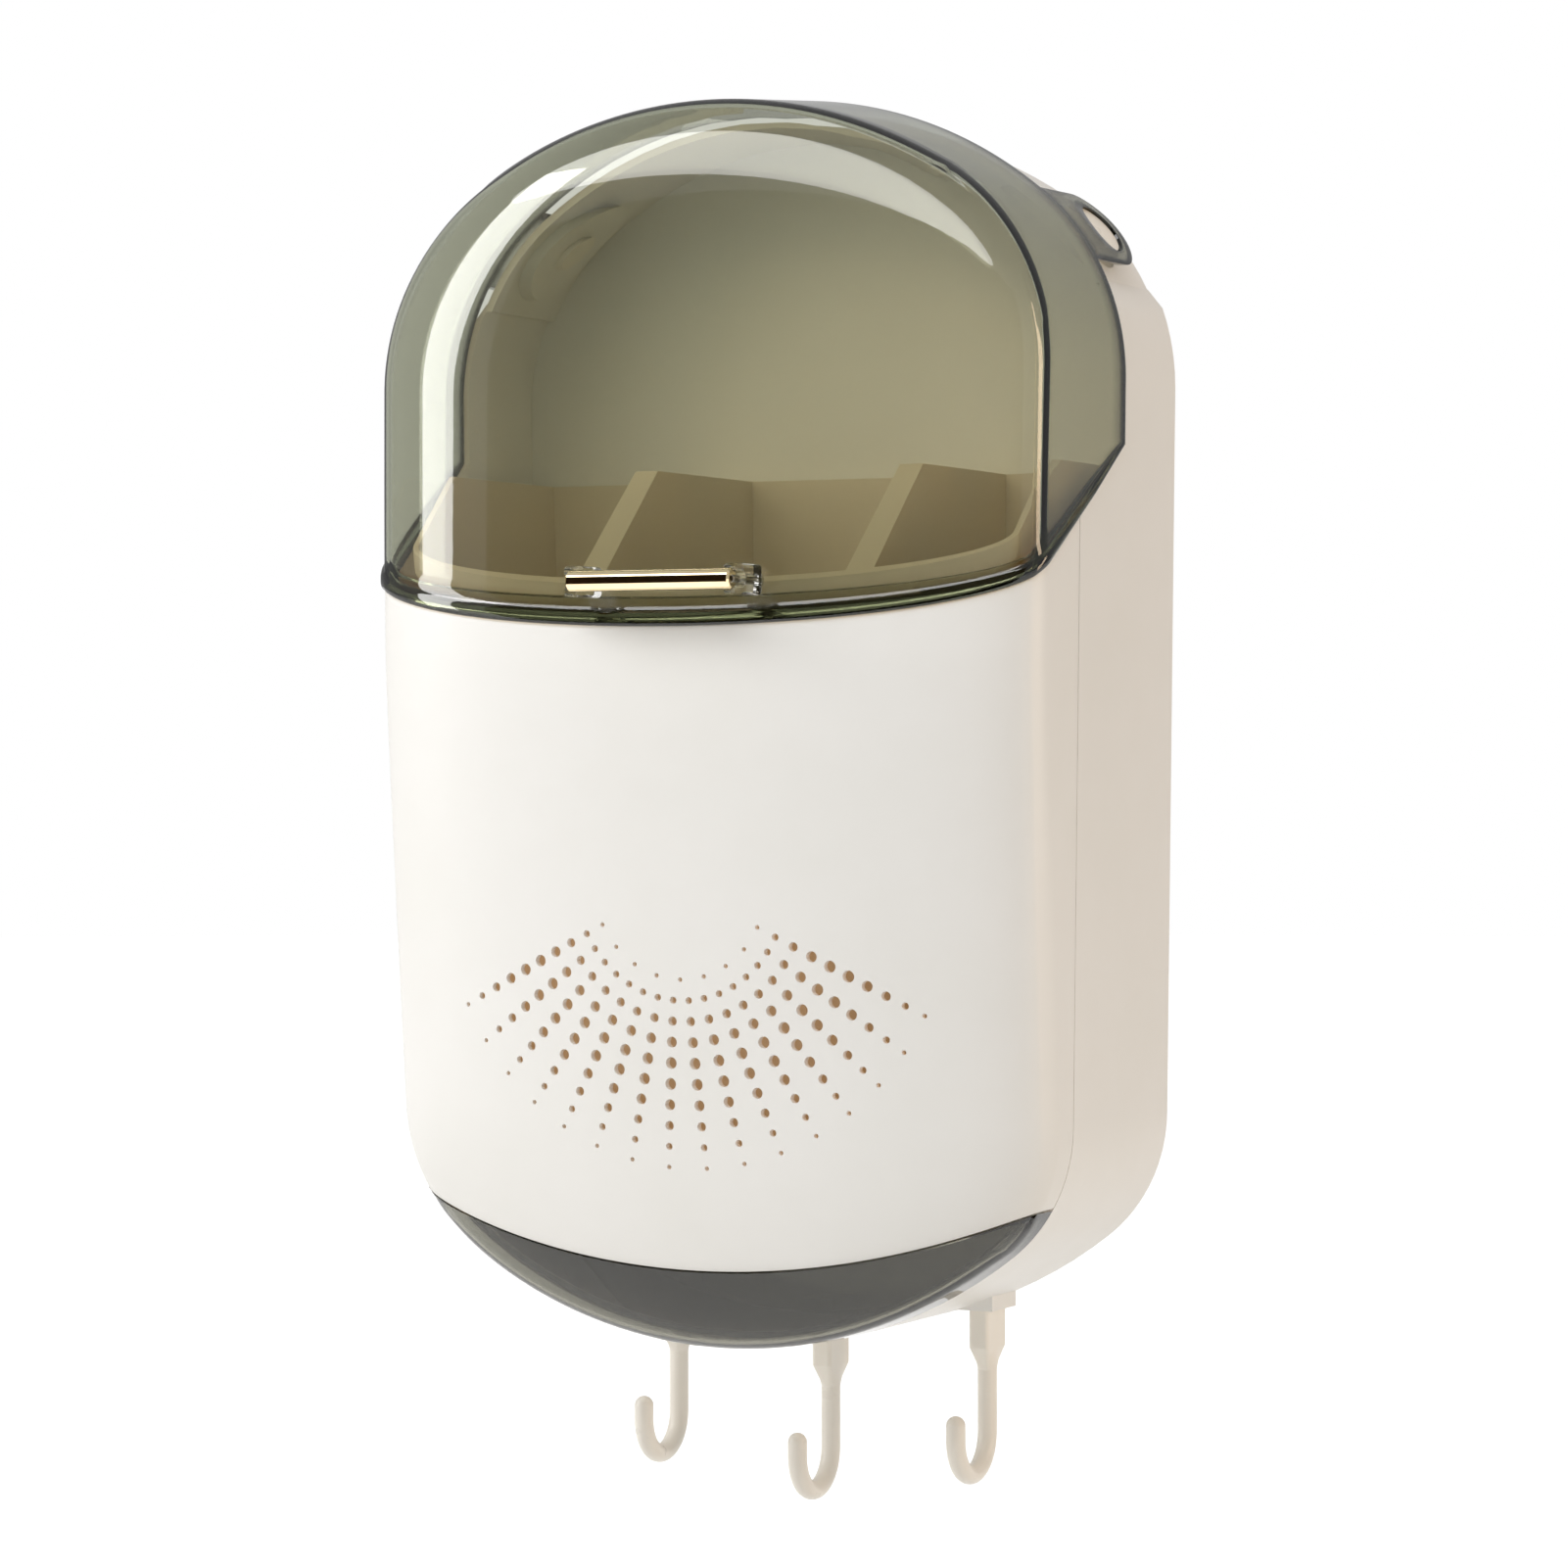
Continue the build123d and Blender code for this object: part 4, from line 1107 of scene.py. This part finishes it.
# %% [markdown]
# ## Plated metals
# The bar is steel with a pale gold plate, polished after plating: it has no colour of its own but the tint
# that it gives to reflections.  Polishing leaves hairlines along its length.  They are a noise that is
# squeezed across the bar and stretched along it, and they vary the gloss and a very shallow bump.  Real
# ones are some hundredths of a millimetre apart, too fine to show, so these are half a millimetre apart.

# %% Metals
HAIRLINE_MM = 0.5
HAIRLINE_STRETCH = (0.06, 1.0, 1.0)
TARNISH_MM = 9.0
HAIRLINE_DEPTH = 0.01


def polished_metal(name, light, dark, rough):
    """Plated metal: hairline polish marks along its length and small drifts of colour."""
    material, tree, end, place = start_material(name)
    stretched = add(tree, "ShaderNodeMapping", {"Vector": place, "Scale": HAIRLINE_STRETCH})
    hairs = add(tree, "ShaderNodeTexNoise", {"Vector": stretched, "Scale": per(HAIRLINE_MM), "Detail": 2.0})
    drift = add(tree, "ShaderNodeTexNoise", {"Vector": place, "Scale": per(TARNISH_MM), "Detail": 3.0})
    share = add(tree, "ShaderNodeMapRange", {"Value": drift, **NOISE_MIDDLE})
    tones = {"Factor": share, 6: colour(light), 7: colour(dark)}
    tone = add(tree, "ShaderNodeMix", tones, data_type="RGBA")
    relief = {"Height": hairs, "Strength": 0.02, "Distance": HAIRLINE_DEPTH * MM}
    fit = {"Value": hairs, **NOISE_MIDDLE, "To Min": rough, "To Max": rough + 0.04}
    shader = add(tree, "ShaderNodeBsdfPrincipled", {
        "Base Color": tone.outputs[2],
        "Metallic": 1.0,
        "Roughness": add(tree, "ShaderNodeMapRange", fit),
        "Normal": add(tree, "ShaderNodeBump", relief),
    })
    tree.links.new(shader.outputs[0], end.inputs["Surface"])
    return material


# Pale gold plate: sharp warm reflections, light where it sees a lamp and dark where it sees the room.
gold_plate = polished_metal("pale gold plate, polished", "#FFECC2", "#FAE4B5", 0.05)
# Nickel plate on small screws: a greyer and duller gleam.
nickel_steel = polished_metal("nickel-plated steel", "#C9C5BC", "#BDB8AE", 0.22)
print("metals:", gold_plate.name, "and", nickel_steel.name)

# %% [markdown]
# ## Which piece has which material
# A material goes on a mesh as its only slot, after whatever slots came with it are cleared.

# %% Give every piece its material
finishes = [
    (thin_cream_abs, [cover]),
    (cream_abs, [shell]),
    (cream_pp, [liner]),
    (hook_abs, hooks + pegs),
    (smoked_san, [lid]),
    (smoked_tray_san, [tray]),
    (clear_pmma, posts),
    (gold_plate, [bar]),
    (nickel_steel, [screws]),
]
for material, pieces in finishes:
    for piece in pieces:
        piece.data.materials.clear()
        piece.data.materials.append(material)
    print(material.name, "on", ", ".join(piece.name for piece in pieces))

# %% [markdown]
# ## The floor
# A product like this is shot on white.  The floor is a plain pale sheet, far enough below the hooks to
# leave air under them.  To the eye, and in mirrors and windows, it glows, so that it stays pale without
# more lamps.  That glow lights nothing else, so the part above and the shadow on the floor keep their tones.

# %% Pale floor
FLOOR_HEIGHT = -0.34
FLOOR_RADIUS = 6.0
FLOOR_SIDES = 96
FLOOR_GLOW = 0.80


def seen_rays(tree):
    """Outputs that are 1 for rays from the camera or through a window, and for rays off a mirror."""
    kinds = add(tree, "ShaderNodeLightPath").outputs
    straight = {0: kinds["Is Camera Ray"], 1: kinds["Is Transmission Ray"]}
    return add(tree, "ShaderNodeMath", straight, operation="MAXIMUM"), kinds["Is Glossy Ray"]


def pale_floor():
    """A round pale floor."""
    bm = bmesh.new()
    bmesh.ops.create_circle(bm, cap_ends=True, segments=FLOOR_SIDES, radius=FLOOR_RADIUS)
    mesh = bpy.data.meshes.new("floor")
    bm.to_mesh(mesh)
    bm.free()
    mesh.transform(Matrix.Translation((0, 0, FLOOR_HEIGHT)))
    material, tree, end, _ = start_material("pale paper")
    paper = add(tree, "ShaderNodeBsdfDiffuse", {"Color": colour("#E2E1DE")})
    straight, mirrored = seen_rays(tree)
    either = add(tree, "ShaderNodeMath", {0: straight, 1: mirrored}, operation="MAXIMUM")
    strength = add(tree, "ShaderNodeMath", {0: either, 1: FLOOR_GLOW}, operation="MULTIPLY")
    glow = add(tree, "ShaderNodeEmission", {"Color": colour("#FFFFFF"), "Strength": strength})
    both = add(tree, "ShaderNodeAddShader", {0: paper, 1: glow})
    tree.links.new(both.outputs[0], end.inputs["Surface"])
    mesh.materials.append(material)
    put_in_scene("floor", mesh)


pale_floor()
print("floor at", FLOOR_HEIGHT, "m")

# %% [markdown]
# ## The room
# The world around is white to the eye and through windows.  As a lamp and in mirrors it is weaker, so
# that soft shadows stay and the smoke keeps its depth.  The kind of ray picks the strength.

# %% World
ROOM_LIGHT = 0.38
MIRRORED_LIGHT = 0.50
room = bpy.data.worlds.new("pale room")
bpy.context.scene.world = room
room.use_nodes = True
room_tree = room.node_tree
room_tree.nodes.clear()
direct, glossy = seen_rays(room_tree)
extra = add(room_tree, "ShaderNodeMath", {0: direct, 1: 1.0 - ROOM_LIGHT}, operation="MULTIPLY")
lit = add(room_tree, "ShaderNodeMath", {0: extra, 1: ROOM_LIGHT}, operation="ADD")
gleam = add(room_tree, "ShaderNodeMath", {0: glossy, 1: MIRRORED_LIGHT}, operation="MULTIPLY")
level = add(room_tree, "ShaderNodeMath", {0: lit, 1: gleam}, operation="MAXIMUM")
sky = add(room_tree, "ShaderNodeBackground", {"Color": colour("#FFFFFF"), "Strength": level})
add(room_tree, "ShaderNodeOutputWorld", {"Surface": sky})
print("the room lights with", ROOM_LIGHT, "and mirrors with", MIRRORED_LIGHT)

# %% [markdown]
# ## Lamps
# A tall strip box on the left draws the long highlight down the lid.  A wide oval box overhead draws the
# soft crescent over its crown, and a weaker warm box lights the right side wall.

# %% Soft boxes
LEFT_PLACE = (-1.762, -1.172, 0.62)
HIGH_PLACE = (-0.3, -1.157, 1.22)
RIGHT_PLACE = (1.823, 0.11, 0.15)
FRONT_AIM = (0, -0.1, 0.03)
SIDE_AIM = (0, -0.05, 0)


def soft_box(name, place, aim, size, power, tint="#FFFFFF", shape="RECTANGLE"):
    """A soft box that faces a point."""
    lamp = bpy.data.lights.new(name, "AREA")
    lamp.shape = shape
    lamp.size, lamp.size_y = size
    lamp.energy = power
    lamp.color = colour(tint)[:3]
    box = put_in_scene(name, lamp)
    box.location = place
    box.rotation_euler = (Vector(aim) - Vector(place)).to_track_quat("-Z", "Y").to_euler()


soft_box("left strip box", LEFT_PLACE, FRONT_AIM, size=(0.36, 1.9), power=17.5)
soft_box("overhead soft box", HIGH_PLACE, FRONT_AIM, size=(2.6, 0.52), power=16.8, shape="ELLIPSE")
soft_box("warm right soft box", RIGHT_PLACE, SIDE_AIM, size=(0.26, 1.6), power=10.0, tint="#FFE2C0")

# %% [markdown]
# ## A dark card for the metal
# Polished metal shows nothing but its surroundings, and in a white room it looks like white plastic.  A
# studio puts a dark card in front of it.  Only reflections see this one: it casts no shadow.

# %% Dark card
CARD_SIDES = (-0.58, 0.60)
CARD_ENDS = (-0.52, 0.44)
CARD_PLACE = -0.6


def dark_card():
    """A dark card in front that only reflections see, which gives bright metal its dark band."""
    left, right = CARD_SIDES
    bottom, top = CARD_ENDS
    bm = bmesh.new()
    corners = [(left, bottom), (right, bottom), (right, top), (left, top)]
    bm.faces.new([bm.verts.new((x, CARD_PLACE, z)) for x, z in corners])
    mesh = bpy.data.meshes.new("dark card")
    bm.to_mesh(mesh)
    bm.free()
    card = put_in_scene("dark card", mesh)
    material, tree, end, _ = start_material("dark felt")
    felt = add(tree, "ShaderNodeBsdfDiffuse", {"Color": colour("#2A2018")})
    tree.links.new(felt.outputs[0], end.inputs["Surface"])
    mesh.materials.append(material)
    for kind in ("camera", "diffuse", "transmission", "shadow", "volume_scatter"):
        setattr(card, "visible_" + kind, False)


dark_card()
print("the card is", round(CARD_SIDES[1] - CARD_SIDES[0], 2), "m wide")

# %% [markdown]
# ## Camera
# The camera stands to the right, level with the middle of the housing, and looks almost straight ahead.
# A long lens keeps the outline close to its true proportions.

# %% Camera
CAMERA_YAW = 26.0
CAMERA_PITCH = -0.33
CAMERA_PLACE = (0.5948, -1.2587, -0.066)
LENS = 110.77
SENSOR_WIDTH = 36.0
camera_data = bpy.data.cameras.new("camera")
camera_data.lens = LENS
camera_data.sensor_width = SENSOR_WIDTH
camera = put_in_scene("camera", camera_data)
camera.location = CAMERA_PLACE
camera.rotation_euler = (math.radians(90 + CAMERA_PITCH), 0, math.radians(CAMERA_YAW))
bpy.context.scene.camera = camera
bpy.context.scene.view_settings.view_transform = "Standard"
print("camera", CAMERA_PLACE, "yaw", CAMERA_YAW)
